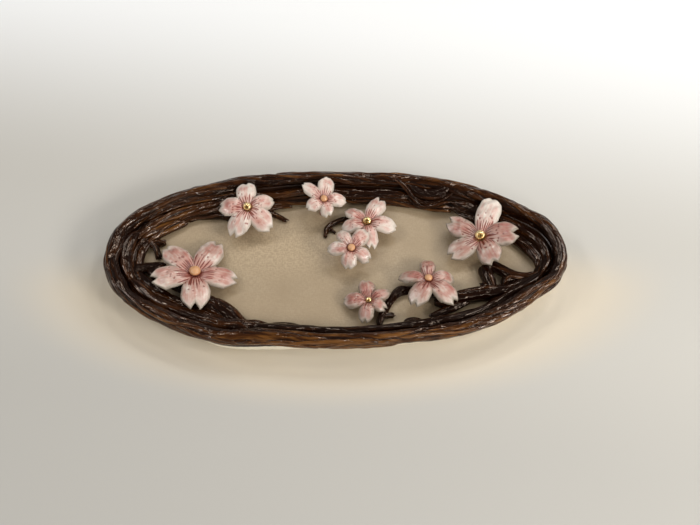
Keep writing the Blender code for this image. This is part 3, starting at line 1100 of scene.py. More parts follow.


@dataclass
class Strand:
    """A strand of bark on a route of (x, y, z, radius) rows, with amber fifth where it varies."""

    route: np.ndarray
    bark: Bark
    seed: int
    closed: bool = False
    ends: tuple[End, End] = (End.ROUNDED, End.ROUNDED)
    sides: int = 72
    step: float = 1.3

    END_RINGS = 12
    VINE_SHIFT = 7.3  # moves the fibres of one vine away from its neighbour's
    POLE_RELIEF = -0.4

    def resample(self) -> tuple[np.ndarray, np.ndarray]:
        """Rings along the route, closer together near open ends.

        Returns:
            The route's rows at those rings, and how far along the route each is.
        """
        route = np.vstack([self.route, self.route[:1]]) if self.closed else self.route
        lengths = np.linalg.norm(np.diff(route[:, :3], axis=0), axis=1)
        marks = np.concatenate([[0], np.cumsum(lengths)])
        total = marks[-1]
        if self.closed:
            along = np.linspace(0, total, max(8, round(total / self.step)), endpoint=False)
        else:
            reach = min(3.0 * float(route[:, 3].max()), total / 3)
            close = reach * (1 - np.cos(np.linspace(0, math.pi / 2, self.END_RINGS)))
            count = max(3, round((total - 2 * reach) / self.step))
            middle = np.linspace(reach, total - reach, count)
            along = np.concatenate([close[:-1], middle, total - close[-2::-1]])
        rows = np.stack([np.interp(along, marks, column) for column in route.T], axis=1)
        return rows, along

    def lap(self, along: np.ndarray) -> float | None:
        """The length after which noise along a closed strand meets itself."""
        return along[-1] + self.step if self.closed else None

    def end_taper(self, along: np.ndarray, radius: np.ndarray) -> np.ndarray:
        """Share of the radius that is left near each open end.

        Args:
            along: how far along each ring is.
            radius: each ring's radius.

        Returns:
            The share at each ring.
        """
        total = along[-1]
        taper = np.ones(len(along))
        for end, distance, size in zip(self.ends, (along, total - along), (radius[0], radius[-1])):
            reach, least, power = {
                End.POINTED: (min(5.0 * size, total / 3), 0.0, 0.8),
                End.ROUNDED: (1.1 * size, 0.0, 0.5),
                End.BROKEN: (0.5 * size, 0.62, 0.5),
            }[end]
            share = np.clip(distance / reach, 0, 1)
            dome = (1 - (1 - share) ** 2) ** power
            taper *= least + (1 - least) * dome
        return taper

    def vine_course(
        self, rng: np.random.Generator, vine: int, along: np.ndarray, total: float
    ) -> tuple[np.ndarray, np.ndarray]:
        """How a vine winds round the strand, and where it shows.

        Args:
            rng: the seeded source of its course.
            vine: its number.
            along: how far along each ring is.
            total: the strand's whole length.

        Returns:
            The vine's angle at each ring, and its window there, from 0 (sunk) to 1 (proud).
        """
        base = TURN * (vine + rng.uniform(-0.35, 0.35)) / self.bark.vines
        drift = math.radians(self.bark.drift)
        if not self.closed:
            angle = base + drift * Waver(rng, 60.0)(along)
            angle = angle + math.radians(self.bark.twist) * rng.uniform(-1, 1) * along
            return angle, smoothstep(-0.85, -0.35, Waver(rng, 70.0)(along))
        laps = round(rng.choice((-3, -2, -1, 1, 2, 3)) * self.bark.twist)
        wave = np.zeros(len(along))
        for turns in rng.integers(3, 17, 5):
            wave += np.sin(TURN * turns * along / total + rng.uniform(0, TURN)) / math.sqrt(turns)
        angle = base + TURN * laps * along / total + drift * wave
        gate = np.sin(TURN * rng.integers(3, 8) * along / total + rng.uniform(0, TURN))
        return angle, smoothstep(-0.75, -0.35, gate)

    def bundle(
        self, rng: np.random.Generator, along: np.ndarray, theta: np.ndarray, radius: np.ndarray
    ) -> tuple[np.ndarray, np.ndarray, np.ndarray]:
        """The outline of the vines and core at each ring.

        Args:
            rng: the seeded source of the vines.
            along: how far along each ring is.
            theta: the angles round a ring.
            radius: each ring's radius.

        Returns:
            The distance from the centre, the place round the vine's own skin, and the
            vine's number, for each angle of each ring.
        """
        bark, total = self.bark, self.lap(along) or along[-1]
        best = np.full((len(along), len(theta)), bark.core)
        around = np.broadcast_to(theta * bark.core, best.shape) * radius[:, None]
        owner = np.zeros(best.shape)
        for vine in range(bark.vines):
            angle, window = self.vine_course(rng, vine, along, total)
            swell = Fibres(rng, 11.0, 1.0, self.lap(along))(along, np.zeros(1))
            size = rng.uniform(*bark.girth) * (1 + 0.22 * swell)
            top = bark.core - 0.08 + (1.07 + 0.04 * swell - bark.core) * window
            size = size * (0.5 + 0.5 * window)
            offset = top - size
            delta = theta[None, :] - angle[:, None]
            inside = size[:, None] ** 2 - (offset[:, None] * np.sin(delta)) ** 2
            found = offset[:, None] * np.cos(delta) + np.sqrt(np.maximum(inside, 0))
            found = np.where((inside > 0) & (np.cos(delta) > 0), found, 0)
            skin = np.arctan2(found * np.sin(delta), found * np.cos(delta) - offset[:, None])
            take = found > best
            best = np.where(take, found, best)
            around = np.where(take, skin * size[:, None] * radius[:, None], around)
            owner = np.where(take, vine + 1, owner)
        return best * radius[:, None], around, owner

    def combing(
        self, rng: np.random.Generator, along: np.ndarray, skin: np.ndarray
    ) -> tuple[np.ndarray, np.ndarray, np.ndarray]:
        """The fibres and lumps combed into the strand.

        Args:
            rng: the seeded source of the fibres.
            along: how far along each ring is.
            skin: the place round the strand's skin at each ring and side.

        Returns:
            The depth cut away, the place round the skin after the fibres' bending, and the
            bending.
        """
        bark, lap, lengths = self.bark, self.lap(along), along[:, None]
        bend = Fibres(rng, 14.0, 5.0, lap)(lengths, skin)
        shift = skin + 1.5 * bark.pitch * bend
        strength = np.clip(0.8 + 0.7 * Fibres(rng, 18.0, 3.0, lap)(lengths, shift), 0.15, 1.4)
        depth = 0.62 * Fibres(rng, 24.0, 2.2 * bark.pitch, lap).grooves(lengths, shift, 0.45)
        depth = depth + 0.40 * Fibres(rng, 13.0, bark.pitch, lap).grooves(lengths, shift)
        depth = depth + 0.14 * Fibres(rng, 8.0, 0.5 * bark.pitch, lap).grooves(lengths, shift, 0.8)
        depth = bark.ridge * strength * depth
        depth = depth + bark.lump * Fibres(rng, 9.0, 4.0, lap)(lengths, shift)
        depth = depth + 0.4 * bark.lump * Fibres(rng, 3.5, 2.0, lap)(lengths, shift)
        return depth, shift, bend

    def relief(self, distance: np.ndarray, radius: np.ndarray, taper: np.ndarray) -> np.ndarray:
        """How far the surface stands out from its surroundings, and less between the vines.

        Args:
            distance: how far each vertex is from the centre.
            radius: each ring's radius.
            taper: the share of it that is left near the ends.

        Returns:
            The relief of each vertex, from -1 to 1.
        """
        reach = max(1, round(self.sides * 1.5 / (TURN * float(radius.mean()))))
        turned = (np.roll(distance, offset, axis=1) for offset in range(-reach, reach + 1))
        proud = np.clip((distance - sum(turned) / (2 * reach + 1)) / 0.32, -1, 1)
        sunk = np.clip((radius[:, None] * 0.93 * taper[:, None] - distance) / 0.9, 0, 1)
        return np.clip(proud - 0.6 * sunk, -1, 1)

    def close_ends(
        self,
        rings: np.ndarray,
        tangent: np.ndarray,
        radius: np.ndarray,
        values: dict[str, np.ndarray],
    ) -> tuple[np.ndarray, np.ndarray]:
        """Closes both ends with a pole that has its ring's attributes.

        Args:
            rings: the vertices of each ring.
            tangent: each ring's direction.
            radius: each ring's radius.
            values: attributes by name, which gain the poles' values.

        Returns:
            The vertices, one a row, and the faces at the two ends.
        """
        flat, fans = rings.reshape(-1, 3), []
        for ring, end, sign in zip((0, len(rings) - 1), self.ends, (1, -1)):
            pole = rings[ring].mean(axis=0)
            if end is End.BROKEN:
                pole = pole + tangent[ring] * sign * 0.25 * radius[ring]
            first = ring * self.sides
            fans.append(fan_faces(np.arange(first, first + self.sides), len(flat)))
            flat = np.vstack([flat, pole])
            for name, value in values.items():
                values[name] = np.concatenate([value, value[first : first + 1]])
            values["relief"][-1] = self.POLE_RELIEF
        return flat, np.vstack(fans)

    def add_to(self, clay: Clay) -> None:
        """Adds the strand to a piece, with its relief, grain and amber attributes.

        Args:
            clay: the piece that the strand becomes part of.
        """
        rng = np.random.default_rng(SEED * 1000 + self.seed)
        bark = self.bark
        rows, along = self.resample()
        centre, radius = rows[:, :3], rows[:, 3]
        if self.closed:
            tangent = np.roll(centre, -1, axis=0) - np.roll(centre, 1, axis=0)
        else:
            tangent = np.gradient(centre, along, axis=0)
            radius = radius * (1 + bark.knots * Waver(rng, 22.0)(along))
        tangent = unit(tangent)
        out = unit(np.cross(tangent, (0.0, 0.0, 1.0)))
        up = np.cross(out, tangent)
        theta = np.linspace(0, TURN, self.sides, endpoint=False) + math.pi

        distance, around, owner = self.bundle(rng, along, theta, radius)
        depth, shift, bend = self.combing(rng, along, around + owner * self.VINE_SHIFT)
        taper = np.ones(len(along)) if self.closed else self.end_taper(along, radius)
        distance = (distance - depth) * taper[:, None]
        places = (
            centre[:, None, :]
            + up[:, None, :] * (distance * np.cos(theta))[..., None]
            + out[:, None, :] * (distance * np.sin(theta))[..., None]
        )
        if not self.closed:
            ragged = Waver(rng, TURN / 3, waves=4)(theta)
            for end, away, sign in zip(self.ends, (along, along[-1] - along), (-1, 1)):
                size = (0.45 if end is End.BROKEN else 0.25) * radius.mean()
                share = np.clip(1 - away / (2.0 * radius.mean()), 0, 1) ** 2
                push = sign * size * share[:, None] * ragged[None, :]
                places += tangent[:, None, :] * push[..., None]

        amber = bark.amber + 0.26 * Fibres(rng, 16.0, 3.2, self.lap(along))(along[:, None], shift)
        # Painted light and shade: more amber on the outer side of the strand, less on the inner
        # side.
        amber = amber + 0.12 * bend + bark.outer * np.sin(theta)
        if rows.shape[1] > 4:
            amber = amber + rows[:, 4:]
        grain = (around + owner * 5.1, along[:, None], owner * 3.7 + self.seed)
        values = {
            "relief": self.relief(distance, radius, taper).ravel(),
            "amber": amber.ravel(),
            "grain": np.stack(np.broadcast_arrays(*grain), axis=-1).reshape(-1, 3),
        }
        faces, flat = ring_faces(len(along), self.sides, self.closed), places.reshape(-1, 3)
        if not self.closed:
            flat, fans = self.close_ends(places, tangent, radius, values)
            faces = np.vstack([faces, fans])
        clay.add(flat, faces, **values)


# -------- sub-assemblies


def settle(piece: bpy.types.Object, finish: bpy.types.Material, slot: Slot, *nodes: str) -> None:
    """Glazes a piece and rides it on the dish.

    Args:
        piece: the piece.
        finish: its glaze.
        slot: the record's material slot for that glaze; not used.
        nodes: the CAD nodes that the piece stands for.
    """
    piece.data.materials.append(finish)
    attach(piece, "root")
    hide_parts(*nodes)


@dataclass
class DishBody:
    """The oval slab with a coved wall on a low foot ring."""

    section: tuple[tuple[float, float], ...] = (  # (inset, height) over the wall and under it
        (18.9, 6.0), (15.4, 6.6), (11.8, 8.2), (9.2, 9.9), (7.8, 12.0), (7.4, 13.2), (5.0, 13.6),
        (2.6, 13.2), (2.3, 11.0), (2.6, 8.2), (3.9, 5.0), (6.6, 2.4), (10.2, 0.8), (11.6, 0.0),
        (14.3, 0.0), (17.0, 0.0), (18.9, 1.2),
    )
    turns: int = 320
    floor_rings: int = 34
    wave: float = 0.12
    belly: tuple[tuple[float, float], ...] = (  # how far the wall stands out at each turn
        (0, -1.2), (150, -1.2), (190, -1.8), (235, -1.9), (244, 0.8), (250, 1.7), (256, 0.8),
        (262, -1.2), (290, -1.6), (318, -1.8), (360, -1.2),
    )

    def build(self) -> bpy.types.Object:
        """Makes the body's mesh, with plan, wash, bare and outside attributes.

        Returns:
            The object.
        """
        rng = np.random.default_rng(SEED)
        turn = np.linspace(0, 360, self.turns, endpoint=False)
        wall = catmull([(inset, height, 0.0) for inset, height in self.section], 0.7)[:, :2]
        hollow, swell = Waver(rng, 46.0, 38.0), Waver(rng, 60.0, 9.0)
        shares = np.linspace(0, 1, self.floor_rings + 1)[1:-1]
        edge, under = (OVAL.at(turn, *wall[row]) for row in (0, -1))
        plain = (np.zeros(self.turns),) * 3
        rings = []
        for share in shares:
            ring = edge * (share, share, 1)
            ring[:, 2] += self.wave * hollow(ring[:, 0], ring[:, 1])
            rings.append((ring, *plain))
        rings += [self.wall_ring(turn, inset, height, hollow, swell) for inset, height in wall]
        rings += [(under * (share, share, 1), *plain) for share in shares[::-1]]

        places, wash, bare, outside = (np.array(column) for column in zip(*rings))
        poles = [(0, 0, ring[:, 2].mean()) for ring in (places[0], places[-1])]
        flat = np.vstack([places.reshape(-1, 3), poles])
        first = np.arange(self.turns)
        faces = np.vstack([
            ring_faces(len(rings), self.turns),
            fan_faces(first, len(flat) - 2),
            fan_faces(first + (len(rings) - 1) * self.turns, len(flat) - 1),
        ])
        clay = Clay()
        clay.add(
            flat,
            faces,
            plan=flat,
            wash=np.append(wash, (0, 0)),
            bare=np.append(bare, (0, 0)),
            outside=np.append(outside, (0, 0)),
        )
        return clay.fire("stoneware_body")

    def wall_ring(
        self, turn: np.ndarray, inset: float, height: float, hollow: Waver, swell: Waver
    ) -> tuple[np.ndarray, ...]:
        """One ring of the wall.

        Args:
            turn: the turns of its vertices, in degrees.
            inset: how far it lies inside the outline.
            height: its height.
            hollow: the slight waves of the clay.
            swell: how the glaze's edge wanders over the outside.

        Returns:
            Its vertices, and the wash, bare and outside attributes of each.
        """
        inner = inset > 5.0 and height >= 6.0 or inset > 7.0 and height > 5.9
        belly = 0.0 if inner else eased(self.belly, turn) * smoothstep(0.5, 4.5, height)
        ring = OVAL.at(turn, inset - belly, height)
        above = min(1.0, max(0.0, height - 1.0) / 4)
        ring[:, 2] += self.wave * above * hollow(ring[:, 0], ring[:, 1])
        # The wash is the bark glaze run onto the wall; inside, under the coils, it also paints the
        # shade in the groove.
        if inner:
            wash = smoothstep(14.5, 11.2, np.full(self.turns, inset))
        else:
            line = 11.2 + 0.9 * swell(turn * 1.7, inset)
            wash = smoothstep(line - 0.8, line + 0.6, np.full(self.turns, height))
        bare = np.full(self.turns, float(height < 0.9))
        return ring, wash, bare, np.full(self.turns, float(not inner))

    def dress(self, piece: bpy.types.Object, finish: bpy.types.Material) -> None:
        """Glazes the body and settles it."""
        settle(piece, finish, Slot.FLOOR, "dish_body")


@dataclass(frozen=True)
class Course:
    """Where a course of coils lies against the wall."""

    inset: float
    height: float
    radius: float


RIM = Course(4.6, 16.6, 4.6)
UPPER = Course(12.3, 12.0, 3.5)
LOWER = Course(18.4, 9.15, 2.8)


@dataclass
class RimCoil:
    """The bark rim, a bundle of vines all the way round."""

    bark: Bark = Bark(
        vines=9, ridge=0.40, pitch=0.80, drift=36.0, twist=0.5, lump=0.40, core=0.84,
        girth=(0.26, 0.50), outer=0.34,
    )
    amber: tuple[tuple[float, float], ...] = (
        (0, -0.25), (60, -0.10), (80, 0.05), (100, -0.05), (130, 0.0), (160, -0.22), (200, -0.42),
        (235, -0.12), (262, 0.10), (290, 0.02), (318, -0.12), (340, -0.20), (360, -0.25),
    )
    push: tuple[tuple[float, float], ...] = (  # how far it stands out of the outline at each turn
        (0, 0.1), (6, 0.4), (14, 0.7), (24, 2.2), (32, 1.7), (40, 0.8), (54, 1.2), (66, 0.9),
        (76, 0.5), (86, 0.0), (100, 0.0), (112, 0.8), (122, 0.3), (136, -0.4), (150, -0.8),
        (166, -0.3), (176, -0.5), (186, 0.8), (196, 0.8), (208, 1.2), (220, 0.8), (228, 0.9),
        (236, 0.1), (246, 0.3), (262, 0.2), (280, 0.3), (290, 0.9), (298, 1.4), (308, 0.4),
        (326, 0.6), (333, 0.2), (342, 1.2), (350, 1.2), (356, 0.5), (360, 0.1),
    )
    nodes: tuple[str, ...] = ("rim_coil_left", "rim_coil_front", "rim_coil_right", "rim_coil_back")

    def build(self) -> bpy.types.Object:
        """Makes the rim's mesh, one closed strand.

        Returns:
            The object.
        """
        rng = np.random.default_rng(SEED + 1)
        turn = np.linspace(0, 360, 720, endpoint=False)

        def ripple(size: float, *counts: int) -> np.ndarray:
            """Waves that meet themselves, so many of them round the rim."""
            waves = (np.sin(k * np.radians(turn) + rng.uniform(0, TURN)) for k in counts)
            return sum(size * wave / math.sqrt(k) for wave, k in zip(waves, counts))

        lift, pull = ripple(0.28, 3, 5, 8, 13), ripple(0.16, 4, 7, 11)
        centre = OVAL.at(turn, RIM.inset + 0.1 + pull - eased(self.push, turn), RIM.height + lift)
        radius = RIM.radius + ripple(0.35, 5, 9, 14, 23, 31)
        route = np.column_stack([centre, radius, eased(self.amber, turn)])
        clay = Clay()
        Strand(route, self.bark, 1, closed=True, sides=160, step=1.2).add_to(clay)
        return clay.fire("bark_rim")

    def dress(self, piece: bpy.types.Object, finish: bpy.types.Material) -> None:
        """Glazes the rim and settles it."""
        settle(piece, finish, Slot.BARK, *self.nodes)


@dataclass
class InnerCoil:
    """A coil of bark laid inside the rim, against the wall.

    It runs from the first turn to the last and reaches a little past both, over its neighbours.
    A filler is a second strand behind it. Each extra is a loose vine, as (turn, inset, height,
    radius) rows with amber fifth where it varies, and bends are (turn, inset added) pairs.
    """

    name: str
    course: Course
    first: float
    last: float
    bark: Bark
    seed: int
    ends: tuple[End, End] = (End.POINTED, End.POINTED)
    reach: tuple[float, float] = (4.0, 4.0)
    filler: Course | None = None
    extra: tuple[tuple[tuple[float, ...], ...], ...] = ()
    bends: tuple[tuple[float, float], ...] = ((0, 0.0), (360, 0.0))

    def route(self, course: Course, rng: np.random.Generator) -> np.ndarray:
        """The route of a strand on a course, wavering and thinner at its ends.

        Args:
            course: the course.
            rng: the seeded source of the wavering.

        Returns:
            Its (x, y, z, radius) rows.
        """
        turn = np.linspace(self.first - self.reach[0], self.last + self.reach[1], 160)
        share = np.linspace(0, 1, len(turn))
        taper = np.minimum(1.0, 0.72 + 2.4 * np.minimum(share, 1 - share))
        length = math.radians(self.last - self.first) * 100
        lift = 0.35 * Waver(rng, 60.0)(share * length)
        pull = 0.55 * Waver(rng, 80.0)(share * length)
        centre = OVAL.at(turn, course.inset + pull + eased(self.bends, turn), course.height + lift)
        return np.column_stack([centre, course.radius * 1.1 * taper])

    def build(self) -> bpy.types.Object:
        """Makes the coil's mesh, with any filler behind it and loose vines on it.

        Returns:
            The object.
        """
        rng = np.random.default_rng(SEED + 100 + self.seed)
        route = self.route(self.course, rng)
        strands = [Strand(route, self.bark, 10 + self.seed, ends=self.ends, sides=104)]
        if self.filler:
            route = self.route(self.filler, rng)
            strands.append(Strand(route, self.bark, 110 + self.seed, ends=self.ends))
        for number, rows in enumerate(self.extra):
            marks = [(*OVAL.at(turn, inset, height), *rest) for turn, inset, height, *rest in rows]
            route, seed = catmull(marks, 1.5), 210 + 10 * self.seed + number
            ends = (End.POINTED, End.POINTED)
            strands.append(Strand(route, self.bark, seed, ends=ends, sides=48, step=1.0))
        clay = Clay()
        for strand in strands:
            strand.add_to(clay)
        return clay.fire("bark_" + self.name)

    def dress(self, piece: bpy.types.Object, finish: bpy.types.Material) -> None:
        """Glazes the coil and settles it."""
        settle(piece, finish, Slot.BARK, self.name)


ROUGH = Bark(vines=5, ridge=0.44, pitch=0.85, drift=34, twist=0.5, amber=-0.05, lump=0.38)
COMBED = Bark(
    vines=5, ridge=0.34, pitch=0.9, drift=18, twist=0.2, amber=-0.42, core=0.86, lump=0.26,
)
SMOOTH = Bark(
    vines=4, ridge=0.20, pitch=1.4, drift=18, twist=0.15, amber=-0.70, core=0.86, lump=0.22,
)
BETWEEN = Course(15.4, 10.0, 2.6)

COILS = (
    InnerCoil("upper_coil_back_left", UPPER, 97, 164, ROUGH, 1, reach=(6.0, 3.0), extra=(
        (
            (152, 9.0, 14.8, 1.0), (143, 9.6, 15.8, 1.6), (133, 10.0, 15.6, 1.7),
            (122, 10.6, 14.6, 1.3), (112, 11.0, 14.0, 0.8),
        ),
        (
            (160, 8.4, 15.2, 0.8), (150, 8.0, 16.6, 1.3), (139, 8.2, 16.8, 1.3),
            (128, 8.6, 16.0, 1.1), (118, 9.2, 15.0, 0.7),
        ),
    )),
    InnerCoil(
        "upper_coil_left_end", Course(11.6, 13.2, 4.2), 166, 198, COMBED, 2, reach=(10.0, 6.0),
        filler=BETWEEN,
    ),
    InnerCoil(
        "upper_coil_front_left", Course(11.8, 12.8, 4.0), 200, 246, COMBED, 3, reach=(6.0, 6.0),
        filler=Course(16.4, 10.2, 2.7),
    ),
    InnerCoil("upper_coil_front", UPPER, 248, 297, SMOOTH, 4, reach=(6.0, 5.0)),
    InnerCoil("upper_coil_front_right", UPPER, 299, 346, SMOOTH, 5, reach=(5.0, 5.0)),
    InnerCoil(
        "upper_coil_right_end", UPPER, 348, 417, COMBED, 6, reach=(6.0, 0.0), filler=BETWEEN,
        bends=((342, -1.0), (362, -1.0), (372, 0.0), (400, 0.0), (410, -1.5)),
    ),
    InnerCoil("upper_coil_back", UPPER, 73, 95, COMBED, 7, reach=(6.0, 5.0), extra=(
        (
            (76.5, 4.2, 20.6, 0.8, 0.1), (73.6, 6.6, 20.2, 1.4, 0.1), (71.0, 9.6, 18.4, 1.6, 0.0),
            (69.0, 12.4, 16.0, 1.6, -0.1), (66.8, 15.4, 13.8, 1.5, -0.1),
            (64.4, 17.4, 11.8, 1.0, -0.1),
        ),
        # This vine lies in the knot's hollow, glazed dark as pooled glaze: painted shade of the
        # hollow.
        (
            (70.4, 7.6, 18.0, 1.0, -0.9), (67.6, 9.4, 16.6, 2.4, -1.1),
            (64.6, 10.6, 15.6, 3.0, -1.2), (61.6, 9.8, 16.0, 3.0, -1.2),
            (59.0, 6.6, 17.6, 2.4, -1.1), (57.2, 3.6, 18.8, 1.2, -0.9),
        ),
        (
            (68.4, 3.2, 20.6, 0.9, 0.1), (66.0, 3.6, 20.9, 1.5, 0.25), (63.4, 3.8, 20.9, 1.7, 0.3),
            (60.8, 3.6, 20.8, 1.5, 0.2), (58.2, 2.8, 20.4, 0.9, 0.0),
        ),
        (
            (70.2, 7.8, 19.2, 0.9), (67.8, 11.2, 15.8, 1.4), (64.6, 13.2, 14.9, 1.6),
            (61.4, 12.9, 15.0, 1.6), (59.2, 10.8, 16.0, 1.4), (58.4, 8.0, 19.0, 0.9),
        ),
        (
            (70.2, 10.2, 15.8, 0.8), (66.8, 14.6, 13.9, 1.3), (63.2, 15.9, 12.9, 1.5),
            (60, 14.9, 13.9, 1.4), (57.6, 11.4, 15.6, 1.2), (56.2, 8.6, 18.2, 0.8),
        ),
        (
            (69.6, 13.6, 13.9, 0.8), (66.6, 16.6, 11.6, 1.4), (63.4, 17.8, 10.8, 1.6),
            (60.4, 16.8, 12.2, 1.5), (58, 15.0, 13.6, 1.3), (55.4, 12.6, 14.8, 0.9),
        ),
    )),
    InnerCoil("lower_coil_left_end", LOWER, 163, 188, COMBED, 8, reach=(5.0, 5.0)),
    InnerCoil(
        "lower_coil_back_left", LOWER, 141, 160, ROUGH, 9, (End.BROKEN, End.POINTED),
        reach=(2.0, 6.0), filler=BETWEEN,
    ),
    InnerCoil(
        "lower_coil_back", LOWER, 90, 106, ROUGH, 10, reach=(3.0, 4.0),
        bends=((86, -3.0), (112, -2.5)),
    ),
    InnerCoil(
        "lower_coil_back_right", LOWER, 56, 87, ROUGH, 11, (End.BROKEN, End.POINTED),
        reach=(1.0, 2.0), bends=((54, -4.0), (62, -3.0), (72, -3.2), (90, -3.2)),
    ),
    InnerCoil("lower_coil_right_end", LOWER, 353, 411, COMBED, 12, reach=(3.0, 2.0), bends=(
        (349, -2.8), (361, -2.4), (368, 0.0), (400, 0.0), (413, -3.0),
    )),
    InnerCoil("lower_coil_front", LOWER, 252, 328, SMOOTH, 13, reach=(4.0, 2.0), bends=(
        (244, -6.0), (249, -5.4), (254, -3.0), (262, -4.2), (272, -4.6), (290, -4.0), (300, -3.8),
        (330, -4.0),
    )),
)


@dataclass
class Branch:
    """A branch or twig on the floor: a stem and its side shoots as (x, y, radius, lift) rows."""

    name: str
    stems: tuple[tuple[tuple[float, float, float, float], ...], ...]
    bark: Bark
    seed: int

    def build(self) -> bpy.types.Object:
        """Makes the branch's mesh, bedded a little into the floor.

        Returns:
            The object.
        """
        clay = Clay()
        for number, stem in enumerate(self.stems):
            laid = [
                (x, y, FLOOR_TOP + 0.88 * radius + lift, radius * 1.08)
                for x, y, radius, lift in stem
            ]
            seed, ends = 40 + 7 * self.seed + number, (End.ROUNDED, End.BROKEN)
            sides = 84 if laid[0][3] > 2.4 else 52
            strand = Strand(catmull(laid, 2.0), self.bark, seed, ends=ends, sides=sides, step=0.9)
            strand.add_to(clay)
        return clay.fire("bark_" + self.name)

    def dress(self, piece: bpy.types.Object, finish: bpy.types.Material) -> None:
        """Glazes the branch and settles it."""
        settle(piece, finish, Slot.BARK, self.name)


LIMB = Bark(
    vines=5, ridge=0.30, pitch=0.85, drift=24, twist=0.6, amber=-0.62, core=0.82, knots=0.09,
)
TWIG = Bark(
    vines=3, ridge=0.22, pitch=0.9, drift=20, twist=1.2, amber=-0.2, core=0.84, knots=0.14,
    lump=0.22,
)
BOUGH = Bark(
    vines=4, ridge=0.26, pitch=1.1, drift=20, twist=0.3, amber=-0.70, core=0.86, knots=0.08,
    lump=0.30,
)

BRANCHES = (
    Branch("branch_front_left", (
        (
            (-111, -5, 3.0, 0), (-103, -11, 3.8, 0), (-91, -17, 4.3, 0), (-76, -28, 4.8, 0),
            (-65, -33.5, 5.0, 0), (-55, -41, 4.0, 0), (-48, -46, 2.4, 0.5),
        ),
        (
            (-117, -8, 2.4, 0.8), (-108, -17, 3.1, 0.6), (-98, -25, 3.4, 0.2), (-86, -31, 3.5, 0),
            (-74, -37, 3.4, 0), (-62, -42, 3.0, 0.5), (-51, -46, 2.0, 1.0),
        ),
        ((-122, -9, 2.8, 1.4), (-116, -6, 3.3, 0.8), (-109, -4.6, 3.3, 0.2), (-101, -4, 2.8, 0)),
    ), LIMB, 1),
    Branch("branch_right", (
        (
            (118, -14, 3.4, 1.0), (111, -17.2, 4.3, 0.3), (103, -20.2, 4.5, 0),
            (95.5, -21.6, 4.5, 0), (88, -22.4, 4.5, 0), (80, -23.4, 4.4, 0), (71, -25.2, 4.2, 0),
            (64, -27.3, 3.8, 0), (57.5, -28, 2.8, 0),
        ),
        (
            (61, -24, 2.3, 0), (54.5, -20.6, 2.4, 0), (48.5, -19.4, 2.4, 0), (42, -19.4, 2.4, 0),
            (37.5, -19.8, 2.8, 0), (34, -22.5, 2.4, 0), (31, -27, 2.3, 0), (28.2, -32.5, 2.2, 0),
            (25.6, -37.5, 2.0, 0), (24.4, -42, 1.5, 0),
        ),
        (
            (77, -26, 2.6, 0), (72, -28.6, 2.7, 0), (68, -30.8, 2.7, 0), (63.5, -32.5, 2.6, 0),
            (58.7, -35, 2.6, 0), (54.6, -37.6, 2.3, 0),
        ),
        (
            (87, -2.6, 3.0, 0), (87.3, -7.4, 3.8, 0), (88.8, -11.6, 4.0, 0), (89.6, -16.3, 3.9, 0),
            (90.5, -20, 3.4, 0),
        ),
        (
            (86, -5, 2.4, 0), (91.8, -3.2, 3.2, 0), (96.3, -5.6, 3.5, 0), (100.7, -8.6, 3.5, 0),
            (105, -10.6, 3.4, 0), (111, -11.4, 3.2, 0.4), (117, -10, 3.0, 1.0),
        ),
        (
            (97.6, -17, 2.6, 0), (99.6, -13.0, 3.3, 0.2), (103.5, -12.6, 3.4, 0.2),
            (110, -13.8, 3.0, 0.3),
        ),
        ((88.4, -21, 2.0, 1.8), (86.0, -17.6, 2.0, 2.0), (84.6, -15.8, 1.4, 1.6)),
        ((26, -36.2, 1.8, 0.2), (29.5, -36, 1.8, 0.2), (33, -35.5, 1.7, 0.2)),
    ), BOUGH, 2),
    Branch("branch_back_left", (
        (
            (-91, 30, 2.2, 0.4), (-84, 33, 2.2, 0), (-72, 34, 2.6, 0), (-62, 31, 3.0, 0),
            (-52, 33, 3.0, 0), (-42, 36, 2.3, 0), (-31, 31, 1.5, 0),
        ),
        ((-46, 37, 1.6, 0.3), (-38, 40, 1.6, 0.6), (-28, 42, 1.5, 0.8)),
        (
            (-97, 29, 2.6, 1.4), (-86, 34, 3.2, 1.0), (-72, 37.5, 3.3, 1.0), (-58, 39.5, 3.2, 1.0),
            (-46, 41.5, 2.6, 1.0), (-34, 43, 1.8, 1.0),
        ),
    ), TWIG, 3),
    Branch("twig_middle", (
        ((13, 33, 1.7, 0), (5, 32, 1.8, 0), (-2, 29, 1.8, 0), (-6, 25, 1.8, 0), (-7, 19, 1.3, 0)),
        ((-5, 26, 1.4, 0), (-1, 22, 1.1, 0)),
    ), TWIG, 4),
    Branch("twig_left", (
        (
            (-117, 15.5, 2.4, 1.2), (-112.5, 14.6, 2.3, 0), (-109, 11.5, 2.4, 0),
            (-107, 7.5, 2.0, 0), (-105.5, 3.5, 2.1, 0),
        ),
        ((-111.5, 13.5, 2.1, 0), (-107.5, 13.6, 2.3, 0), (-103, 14.6, 1.9, 0)),
    ), TWIG, 5),
    Branch("knot_front", (
        (
            (38.5, -42.5, 2.4, 1.0), (43.5, -41.8, 3.2, 1.3), (50, -43.2, 2.4, 1.4),
            (58, -44.5, 1.2, 1.8),
        ),
    ), LIMB, 6),
)


# -------- blossoms


